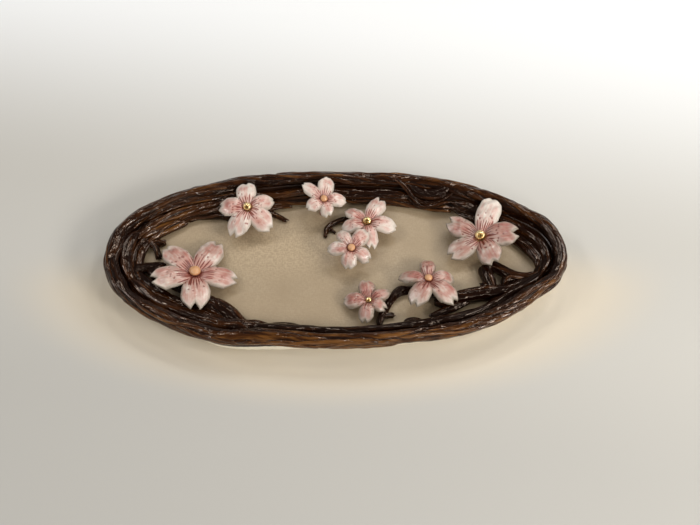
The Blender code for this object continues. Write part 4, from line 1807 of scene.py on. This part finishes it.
@dataclass(frozen=True)
class PetalShape:
    """Sizes that every petal shares, as shares of its reach, half width or thickness."""

    rows: int = 40
    columns: int = 53
    thickness: float = 2.0
    rounding: float = 1.05
    crown: float = 1.5
    notch_side: float = 0.38
    shoulder: float = 0.29
    cup: float = 2.4
    lap: float = 0.35
    outline: tuple[tuple[float, float], ...] = (
        (0.0, 0.30), (0.12, 0.50), (0.26, 0.76), (0.42, 0.94), (0.57, 1.0), (0.72, 0.98),
        (0.86, 0.88), (1.0, 0.70),
    )

    def shell(self) -> tuple[np.ndarray, np.ndarray]:
        """The closed shell of a petal, an upper and a lower skin that share their edge.

        Returns:
            Its faces, and which vertices of the upper skin have another one under them.
        """
        upper = np.arange(self.rows * self.columns).reshape(self.rows, self.columns)
        inner = np.zeros(upper.shape, bool)
        inner[:-1, 1:-1] = True
        lower = upper.copy()
        lower[inner] = upper.size + np.arange(inner.sum())
        base = np.vstack([upper[0], lower[0]])
        return np.vstack([grid_faces(upper), grid_faces(lower)[:, ::-1], grid_faces(base)]), inner


@dataclass(frozen=True)
class Petal:
    """One petal: where it points, its sizes, and how it differs from its blossom's others."""

    azimuth: float
    reach: float
    notch: float  # depth of the notch, as a share of the reach
    breadth: float  # width, as a share of the reach
    paleness: float = 0.0  # pink added
    painted_shade_added: float = 0.0  # painted shade added; below 0 the petal is painted lighter
    squareness: float = 0.0


@dataclass
class Blossom:
    """A blossom of five petals on a short stalk, and the bead at its middle."""

    name: str
    centre: tuple[float, float, float]
    lean: tuple[float, float]
    droop: float
    bead: float
    petals: tuple[Petal, ...]
    pink: float
    veil: float  # how far the whole blossom is painted darker, as shade
    gilded: bool
    seed: int
    shape: PetalShape = PetalShape()
    bead_lift: float = -0.7  # the bead's underside above the blossom's middle
    # the way the dent faces, towards the camera, where its dark glaze is a painted reflection
    painted_reflection_way: tuple[float, float, float] = (-0.14, -0.64, 0.75)
    bead_flatten: float = 0.72

    def axes(self) -> tuple[np.ndarray, np.ndarray, np.ndarray]:
        """The axes of the blossom's face.

        Returns:
            Its X axis, Y axis and normal.
        """
        towards_front, towards_right = (math.radians(angle) for angle in self.lean)
        normal = np.array([math.sin(towards_right), -math.sin(towards_front), 0.0])
        normal[2] = math.sqrt(1 - float(normal @ normal))
        across = unit(np.array([1.0, 0, 0]) - normal * normal[0])
        return across, np.cross(normal, across), normal

    @property
    def hub(self) -> float:
        """Radius of the hub that the petals grow from."""
        return 0.15 * sum(petal.reach for petal in self.petals) / len(self.petals)

    def place(self, x: np.ndarray, y: np.ndarray, height: np.ndarray) -> np.ndarray:
        """Turns points in the blossom's own axes into the dish's.

        Args:
            x: places along the face's X axis.
            y: places along the face's Y axis.
            height: heights along its normal.

        Returns:
            The points, with their parts along the last axis.
        """
        across, along, normal = self.axes()
        parts = zip((x, y, height), (across, along, normal))
        moves = (np.asarray(amount)[..., None] * axis for amount, axis in parts)
        return np.array(self.centre) + sum(moves)

    def carved_lines(
        self, rng: np.random.Generator, side: np.ndarray, share: np.ndarray
    ) -> tuple[np.ndarray, np.ndarray]:
        """The carved lines that fan out from the hub, and the pits that some of them end in.

        Args:
            rng: the seeded source of the lines.
            side: place across the petal, from -1 to 1.
            share: place along the petal, from 0 to 1.

        Returns:
            The depth of the lines and of the pits, both from 0 to 1.
        """
        lines = np.zeros(np.broadcast(side, share).shape)
        pits = lines.copy()
        count = rng.integers(6, 9)
        for number in range(count):
            start = -0.86 + 1.72 * (number + 0.5 + rng.uniform(-0.22, 0.22)) / count
            bend = rng.uniform(-0.10, 0.10)
            end = rng.uniform(0.44, 0.70) * (1 - 0.25 * abs(start))
            width = rng.uniform(0.040, 0.068)
            middle = start + bend * share
            stroke = np.exp(-(((side - middle) / width) ** 2))
            lines = lines + stroke * smoothstep(end, end * 0.55, share) * rng.uniform(0.7, 1.0)
            if rng.uniform() < 0.45:
                away = ((side - middle) / 0.085) ** 2 + ((share - end * 1.02) / 0.028) ** 2
                pits = pits + np.exp(-away)
        return np.clip(lines, 0, 1), np.clip(pits, 0, 1)

    def rise(
        self,
        rng: np.random.Generator,
        petal: Petal,
        side: np.ndarray,
        sideways: np.ndarray,
        radial: np.ndarray,
    ) -> np.ndarray:
        """How high the middle of a petal's thickness lies: cupped, drooping and gently waved.

        Args:
            rng: the seeded source of the waves.
            petal: the petal.
            side: place across it, from -1 to 1.
            sideways: distance across it from its middle line.
            radial: distance from the blossom's middle.

        Returns:
            The height over the blossom's middle.
        """
        shape, part = self.shape, radial / petal.reach
        out = np.clip((radial - self.hub) / (petal.reach - self.hub), 0, 1)
        pillow = 1 - np.abs(side) ** 2.2
        arch = np.sin(math.pi * np.clip(part * 0.96 + 0.02, 0, 1)) ** 0.8
        height = shape.crown * pillow * arch
        height = height - self.droop * out**2 - shape.cup * np.exp(-((part / 0.26) ** 2))
        tilt = 0.9 * rng.uniform(-1.0, 1.0) * side * smoothstep(0.3, 0.8, part)
        height = height + tilt + shape.lap * side * smoothstep(0.0, 0.3, part)
        wave = 0.32 * Waver(rng, 10.0, 8.0)(sideways, radial)
        height = height + wave * smoothstep(0.25, 0.6, part)
        return height - 0.5 * np.abs(side) ** 4 * smoothstep(0.2, 0.5, part)

    def add_petal(self, clay: Clay, number: int) -> None:
        """Adds one petal as a closed, thick, round-edged shell.

        Args:
            clay: the corolla.
            number: which petal it is.
        """
        petal, shape = self.petals[number], self.shape
        reach, notch = petal.reach, petal.notch
        rng = np.random.default_rng(SEED * 100 + self.seed * 10 + number)
        v = np.linspace(-1, 1, shape.columns)
        side = (0.55 * v + 0.45 * np.sin(v * math.pi / 2))[None, :]
        s = np.linspace(0, 1, shape.rows)
        share = (0.4 * s + 0.6 * np.sin(s * math.pi / 2))[:, None]
        lean = rng.uniform(-0.08, 0.08)
        left, right = shape.notch_side * (0.6 + 3 * notch) + rng.uniform(-0.03, 0.05, 2)
        point = np.where(side < lean, left, right)
        off = np.abs(side - lean)
        shoulder = shape.shoulder * (1 - petal.squareness)
        tip = np.where(
            off < point,
            1 - notch * np.maximum(1 - off / point, 0) ** rng.uniform(0.7, 1.1),
            1 - shoulder * np.clip((off - point) / (1 - point), 0, 1) ** 1.75,
        )
        start = self.hub * 0.4
        radial = start + (reach - start) * share * tip
        part = radial / reach
        width = reach * petal.breadth / 2 * eased(shape.outline, part)
        ripple = 1 + 0.035 * Waver(rng, 0.5)(part) * smoothstep(0.3, 0.6, part)
        sideways = side * width * np.where(side < 0, ripple, 2 - ripple)
        sideways = sideways + 0.05 * reach * rng.uniform(-1, 1) * part**2

        edge_side = (1 - np.abs(side)) * width
        edge_tip = (1 - share) * (reach - start) * tip * np.where(off < point, 0.7, 0.95)
        rounded = [
            np.sqrt(1 - (1 - np.clip(edge / shape.rounding, 0, 1)) ** 2)
            for edge in (edge_side, edge_tip)
        ]
        thick = shape.thickness / 2 * rounded[0] * rounded[1] * (1 - 0.25 * part)
        line, pit = self.carved_lines(rng, side, part)
        height = self.rise(rng, petal, side, sideways, radial)
        curl = rng.uniform(-0.3, 1.0, 2) * smoothstep(0.02, 0.12, notch)
        curled = np.where(side < lean, curl[0], curl[1]) * smoothstep(0.80, 1.0, part)
        height = height + curled * np.minimum(off / point, 1)
        top = height + thick - (0.34 * line + 0.30 * pit) * (rounded[0] * rounded[1])

        angle = math.radians(petal.azimuth)
        cosine, sine = math.cos(angle), math.sin(angle)
        x, y = radial * cosine - sideways * sine, radial * sine + sideways * cosine
        faces, inner = shape.shell()
        low = self.place(x, y, height - thick)[inner]
        places = np.vstack([self.place(x, y, top).reshape(-1, 3), low])

        def whole(values: np.ndarray) -> np.ndarray:
            """A value of the upper skin, repeated for the vertices under it."""
            values = np.broadcast_to(values, inner.shape)
            return np.concatenate([values.ravel(), values[inner]])

        apart = number * 37.0 + self.seed * 211.0  # so no two petals have the same pattern
        clay.add(
            places,
            faces,
            plan=np.stack([whole(radial), whole(sideways + apart), whole(top * 0.3)], axis=1),
            reach=whole(part),
            rim=whole(np.minimum(edge_side, edge_tip * 1.2)),
            line=whole(np.maximum(line, 0.8 * pit)) * (np.arange(len(places)) < inner.size),
            pink=whole(self.pink + petal.paleness + rng.uniform(-0.2, 0.2)),
            veil=whole(self.veil + petal.painted_shade_added),
            gilt=whole(float(self.gilded)),
            around=whole(np.hypot(radial, sideways) / self.bead),
        )

    def add_stalk(self, clay: Clay) -> None:
        """Adds the hub under the bead and the stalk down to the dish's floor.

        Args:
            clay: the corolla.
        """
        sides, hub = 40, self.hub
        rng = np.random.default_rng(SEED * 100 + self.seed)
        drop = self.centre[2] - FLOOR_TOP + 0.2
        profile = (
            (0.35 * hub, -0.9), (0.8 * hub, -0.75), (1.15 * hub, -1.0), (1.2 * hub, -1.7),
            (1.0 * hub, -2.6), (2.5, -3.6), (2.3, -0.52 * drop), (2.2, -0.75 * drop),
            (2.7, -drop + 0.6), (3.0, -drop),
        )
        rows = catmull([(radius, height, 0.0) for radius, height in profile], 0.6)[:, :2]
        theta = np.linspace(0, TURN, sides, endpoint=False)
        radius = rows[:, :1] * (1 + 0.05 * Waver(rng, 2.5, 5.0)(theta[None, :], rows[:, 1:]))
        x, y = radius * np.cos(theta), radius * np.sin(theta)
        z = np.broadcast_to(rows[:, 1:], x.shape)
        turned = smoothstep(-2.5, -0.5, rows[:, 1])[:, None, None]
        upright = np.array(self.centre) + np.stack([x, y, z], axis=-1)
        places = (self.place(x, y, z) * turned + upright * (1 - turned)).reshape(-1, 3)
        reach = np.repeat(0.12 + 0.5 * smoothstep(0.0, -2.0, rows[:, 1]), sides)
        reach = np.append(reach, (0.1, 0.6))
        same = np.ones(len(reach))
        clay.add_capped(
            places,
            len(rows),
            sides,
            reach=reach,
            rim=2.0 * same,
            line=0.25 * (reach < 0.2),
            pink=self.pink * same,
            veil=self.veil * same,
            gilt=float(self.gilded) * same,
            around=1.2 * same,
        )

    def build(self) -> tuple[bpy.types.Object, bpy.types.Object]:
        """Makes the corolla and the bead.

        Returns:
            The corolla and the bead.
        """
        clay = Clay()
        for number in range(len(self.petals)):
            self.add_petal(clay, number)
        self.add_stalk(clay)
        return clay.fire("petals_" + self.name), self.build_bead()

    def build_bead(self) -> bpy.types.Object:
        """Makes the bead, a rolled ball pressed flat, with a thin collar of pooled glaze; a gilded
        bead also has a dent towards the camera, glazed dark as a painted reflection.

        Returns:
            The object.
        """
        rows, sides = 26, 48
        rng = np.random.default_rng(SEED * 10 + self.seed)
        phi = np.linspace(0.0, math.pi, rows + 2)[1:-1, None]
        theta = np.linspace(0, TURN, sides, endpoint=False)[None, :]
        parts = (np.sin(phi) * np.cos(theta), np.sin(phi) * np.sin(theta), np.cos(phi))
        outward = np.stack(np.broadcast_arrays(*parts), axis=-1)
        # A gilded bead has a real dent on the side towards the camera, glazed dark: a painted
        # reflection.
        toward = outward @ np.stack(self.axes()) @ unit(np.array(self.painted_reflection_way))
        painted_reflection_dent = smoothstep(0.70, 0.98, toward) * float(self.gilded)
        radius = self.bead * (1.04 + 0.02 * Waver(rng, 3.0, 4.0)(theta, phi * 2) - 0.12 * painted_reflection_dent)
        x, y, z = np.moveaxis(radius[..., None] * outward * (1, 1, self.bead_flatten), -1, 0)
        middle = self.bead_lift + self.bead * self.bead_flatten
        places = self.place(x, y, z + middle).reshape(-1, 3)
        relief = 0.55 - 1.6 * smoothstep(1.0, 1.9, phi) - 1.7 * painted_reflection_dent
        clay = Clay()
        clay.add_capped(places, rows, sides, relief=np.append(relief, (0.55, -1.0)))
        return clay.fire("bead_glazed_" + self.name)

    def dress(
        self,
        pieces: tuple[bpy.types.Object, bpy.types.Object],
        petal: bpy.types.Material,
        bead: bpy.types.Material,
    ) -> None:
        """Glazes the corolla and the bead and settles them."""
        settle(pieces[0], petal, Slot.PETAL, "blossom_" + self.name)
        settle(pieces[1], bead, Slot.GOLD if self.gilded else Slot.PEACH, "bead_" + self.name)


BLOSSOMS = (
    Blossom("left", (-81.7, -11.6, 15.0), (-8, 8), 2.0, 3.2, (
        Petal(65, 28.7, 0.12, 0.55), Petal(135, 26.6, 0.05, 0.56), Petal(198, 25.3, 0.13, 0.64),
        Petal(278, 25.5, 0.16, 0.66), Petal(356, 24.8, 0.12, 0.59),
    ), 0.70, 0.45, False, 1),
    Blossom("back_left", (-53.6, 31.5, 20.5), (13, -1), 4.5, 2.35, (
        Petal(22, 16.4, 0.03, 0.60), Petal(97, 17.6, 0.09, 0.70, -0.2, -0.2, 0.6),
        Petal(173, 17.9, 0.09, 0.72), Petal(246, 19.6, 0.13, 0.70, -0.35, -0.3),
        Petal(320, 19.3, 0.05, 0.68),
    ), 0.60, 0.0, True, 2),
    Blossom("back", (-7.9, 37.8, 20.0), (10, 10), 2.0, 2.1, (
        Petal(5, 14.1, 0.04, 0.68), Petal(82, 16.1, 0.03, 0.64), Petal(144, 16.3, 0.06, 0.55),
        Petal(212, 11.9, 0.05, 0.76), Petal(289, 11.4, 0.09, 0.72),
    ), 0.58, -0.6, False, 3),
    Blossom("middle_back", (18.3, 25.2, 14.5), (-2, -4), 3.5, 2.4, (
        Petal(64, 21.1, 0.18, 0.53), Petal(139, 17.7, 0.04, 0.54), Petal(189, 15.9, 0.04, 0.66),
        Petal(276, 18.8, 0.13, 0.53), Petal(350, 17.8, 0.04, 0.66),
    ), 0.50, -0.6, True, 4),
    Blossom("middle_front", (8.8, 3.0, 18.8), (10, 3), 3.5, 2.2, (
        Petal(52, 15.7, 0.05, 0.62), Petal(119, 14.0, 0.03, 0.60), Petal(180, 14.1, 0.03, 0.64),
        Petal(258, 12.6, 0.10, 0.76), Petal(331, 13.0, 0.10, 0.66),
    ), 0.55, 0.15, False, 5),
    Blossom("front", (18.7, -29.0, 13.5), (0, -6), 3.5, 1.5, (
        Petal(27, 13.6, 0.05, 0.60), Petal(98, 15.2, 0.06, 0.66), Petal(174, 15.2, 0.04, 0.70),
        Petal(257, 13.9, 0.09, 0.66), Petal(331, 11.2, 0.13, 0.70),
    ), 0.76, 0.80, True, 6),
    Blossom("front_right", (53.0, -16.7, 16.5), (-10, 0), 5.5, 2.2, (
        Petal(12, 16.1, 0.02, 0.62), Petal(90, 18.9, 0.03, 0.52), Petal(163, 17.8, 0.03, 0.54),
        Petal(242, 18.9, 0.09, 0.68), Petal(318, 20.9, 0.10, 0.62),
    ), 0.68, 0.80, False, 7),
    Blossom("right", (85.1, 12.8, 17.0), (3, -14), 0.0, 2.9, (
        Petal(68, 26.4, 0.02, 0.55, -0.55, -1.4, 0.6), Petal(147, 23.2, 0.14, 0.58),
        Petal(212, 22.7, 0.12, 0.64, -0.3, -0.2), Petal(292, 21.5, 0.11, 0.68),
        Petal(0, 22.6, 0.16, 0.74),
    ), 0.62, 1.1, True, 8),
)


# -------- studio


@dataclass(frozen=True)
class Lamp:
    """A soft square lamp that faces the dish."""

    name: str
    place: tuple[float, float, float]
    size: float
    power: float
    colour: tuple[float, float, float]

    def build(self) -> None:
        """Adds the lamp to the scene."""
        light = bpy.data.lights.new(self.name, "AREA")
        light.size = self.size
        light.energy = self.power
        light.color = self.colour
        lamp = bpy.data.objects.new(self.name, light)
        lamp.location = self.place
        lamp.rotation_euler = (-Vector(self.place)).to_track_quat("-Z", "Y").to_euler()
        bpy.context.scene.collection.objects.link(lamp)


GLINTS = (  # the (x, y, z, power) of small lamps that put narrow glints on the gloss
    (0.30, -0.86, 0.56, 1.1), (0.90, -0.25, 0.58, 1.1), (0.92, 0.10, 0.66, 1.0),
    (0.50, -0.25, 0.95, 0.8), (0.10, 0.62, 0.88, 1.0), (-0.30, 0.50, 0.92, 0.8),
    (-0.75, 0.20, 0.80, 0.8), (-0.55, -0.55, 0.80, 0.7), (0.45, 0.45, 0.90, 0.8),
)

LAMPS = (
    Lamp("window_lamp", (0.70, 0.62, 0.90), 0.42, 2.6, (1.0, 0.99, 0.97)),
    Lamp("side_lamp", (-0.88, 0.05, 0.98), 0.42, 2.6, (0.98, 0.98, 1.0)),
    Lamp("front_lamp", (0.50, -0.80, 0.58), 0.30, 0.6, (1.0, 0.96, 0.89)),
    Lamp("streak_lamp", (0.72, -0.55, 0.52), 0.24, 4.9, (1.0, 0.97, 0.93)),
    *(
        Lamp(f"glint_lamp_{number}", tuple(place), 0.11, power, (1.0, 0.96, 0.90))
        for number, (*place, power) in enumerate(GLINTS, 1)
    ),
)


@dataclass
class Studio:
    """A pale floor, a dim sky, soft lamps and the camera."""

    floor_half: float = 3.0
    # The floor's colours are painted light: grey in front, paling to white at the back right, with
    # a painted warm glow just in front of the dish.
    grey: Colour = (0.497, 0.486, 0.455, 1)
    middle: Colour = (0.56, 0.546, 0.508, 1)
    white: Colour = (0.66, 0.655, 0.635, 1)
    painted_outer_glow: Colour = (0.655, 0.582, 0.468, 1)
    warm: Colour = (0.68, 0.62, 0.52, 1)
    black: Colour = (0, 0, 0, 1)
    shine: Colour = (0.31, 0.325, 0.345, 1)  # painted glow that the white part of the floor gives off
    far: Colour = (0.70, 0.69, 0.67, 1)  # added to the floor far away
    horizon: Colour = (0.80, 0.79, 0.77, 1)
    sky: Colour = (0.16, 0.158, 0.154, 1)
    glow_reach: tuple[float, float] = (0.138, 0.0625)
    camera_place: tuple[float, float, float] = (0.0080, -0.2824, 0.4427)
    camera_tilt: float = 33.0

    def build(self) -> None:
        """Makes the floor, the sky, the lamps and the camera."""
        self.build_floor()
        self.build_world()
        for lamp in LAMPS:
            lamp.build()
        self.build_camera()

    def build_floor(self) -> None:
        """A floor with painted light: it pales towards the back right and has a painted warm glow
        in front of the dish.
        """
        half = self.floor_half
        mesh = bpy.data.meshes.new("studio_floor")
        corners = [(-half, -half, 0), (half, -half, 0), (half, half, 0), (-half, half, 0)]
        mesh.from_pydata(corners, [], [(0, 1, 2, 3)])
        floor = bpy.data.objects.new("studio_floor", mesh)
        bpy.context.scene.collection.objects.link(floor)
        made, tree, shader = start_finish("studio_floor")
        place = tree.add("TexCoord").outputs["Object"]
        x, y, _ = tree.xyz(place)
        # Painted light: the floor darkens to the front and pales to white towards the back right.
        level = tree.plus(y, x, 0.16)
        painted_floor_light = tree.span(level, 0.035, 0.245)
        colour = tree.mix(tree.span(level, -0.11, -0.01), self.grey, self.middle)
        colour = tree.mix(painted_floor_light, colour, self.white)
        tree.feed(shader.inputs["Base Color"], self.glow(tree, place, colour))
        tree.feed(shader.inputs["Emission Color"], self.shimmer(tree, place, painted_floor_light))
        shader.inputs["Emission Strength"].default_value = 1.0
        shader.inputs["Roughness"].default_value = 0.75
        mesh.materials.append(made)

    def glow(self, tree: Tree, place: Socket, colour: Socket) -> Socket:
        """Paints a warm glow of bounced light on the floor close in front of the dish.

        Args:
            tree: the floor's tree.
            place: the place on the floor.
            colour: the floor's colour elsewhere.

        Returns:
            The floor's colour.
        """
        x, y, _ = tree.xyz(place)
        across, along = self.glow_reach
        away = tree.length(tree.stretch(place, (1 / across, 1 / along, 0.0)))
        front = tree.span(y, 0.02, -0.02)
        # Painted light: a wide warm band, then a brighter one close to the dish's front.
        colour = tree.mix(tree.times(tree.span(away, 1.50, 1.05), front), colour, self.painted_outer_glow)
        near = tree.math("SUBTRACT", away, tree.times(x, 0.6))
        return tree.mix(tree.times(tree.span(near, 1.15, 0.88), front), colour, self.warm)

    def shimmer(self, tree: Tree, place: Socket, painted_floor_light: Socket) -> Socket:
        """The light that the floor gives off, seen by the camera and in the gloss alone.

        Args:
            tree: the floor's tree.
            place: the place on the floor.
            painted_floor_light: how white the floor is painted there.

        Returns:
            The colour of the light.
        """
        path = tree.add("LightPath")
        seen = tree.math("MAXIMUM", path.outputs["Is Camera Ray"], path.outputs["Is Glossy Ray"])
        seen = tree.math("MAXIMUM", seen, path.outputs["Is Transmission Ray"])
        shine = tree.mix(painted_floor_light, self.black, self.shine)
        shine = tree.mix(tree.span(tree.length(place), 0.40, 1.5), shine, self.far)
        return tree.mix(seen, self.black, shine)

    def build_world(self) -> None:
        """A dim sky that pales near the horizon."""
        world = bpy.data.worlds.new("studio_sky")
        world.use_nodes = True
        tree = Tree(world.node_tree)
        height = tree.xyz(tree.add("TexCoord").outputs["Generated"])[2]
        colour = tree.mix(tree.span(height, 0.06, 0.24), self.horizon, self.sky)
        tree.feed(world.node_tree.nodes["Background"].inputs["Color"], colour)
        bpy.context.scene.world = world

    def build_camera(self) -> None:
        """The camera, above the front of the dish and looking down at it."""
        lens = bpy.data.cameras.new("studio_camera")
        lens.lens = 45
        lens.sensor_width = 36
        camera = bpy.data.objects.new("studio_camera", lens)
        camera.location = self.camera_place
        camera.rotation_euler = (math.radians(self.camera_tilt), 0, 0)
        bpy.context.scene.collection.objects.link(camera)
        bpy.context.scene.camera = camera


def report(piece: bpy.types.Object) -> None:
    """Logs a piece's name and size."""
    LOG.info("%s: %d faces", piece.name, len(piece.data.polygons))


def main() -> None:
    """Builds every sub-assembly in order and reports each piece."""
    logging.basicConfig(level=logging.INFO, format="%(message)s")
    bpy.context.scene.view_settings.view_transform = "Standard"
    effects = GlazeEffects()
    satin, bark, petal, gold, peach = (
        finish.make(effects) for finish in (SatinGlaze(), BarkGlaze(), PetalGlaze(), GOLD, PEACH)
    )
    for part in (DishBody(), RimCoil(), *COILS, *BRANCHES):
        piece = part.build()
        part.dress(piece, satin if isinstance(part, DishBody) else bark)
        report(piece)
    for blossom in BLOSSOMS:
        pieces = blossom.build()
        blossom.dress(pieces, petal, gold if blossom.gilded else peach)
        for piece in pieces:
            report(piece)
    Studio().build()


if __name__ == "__main__":
    main()
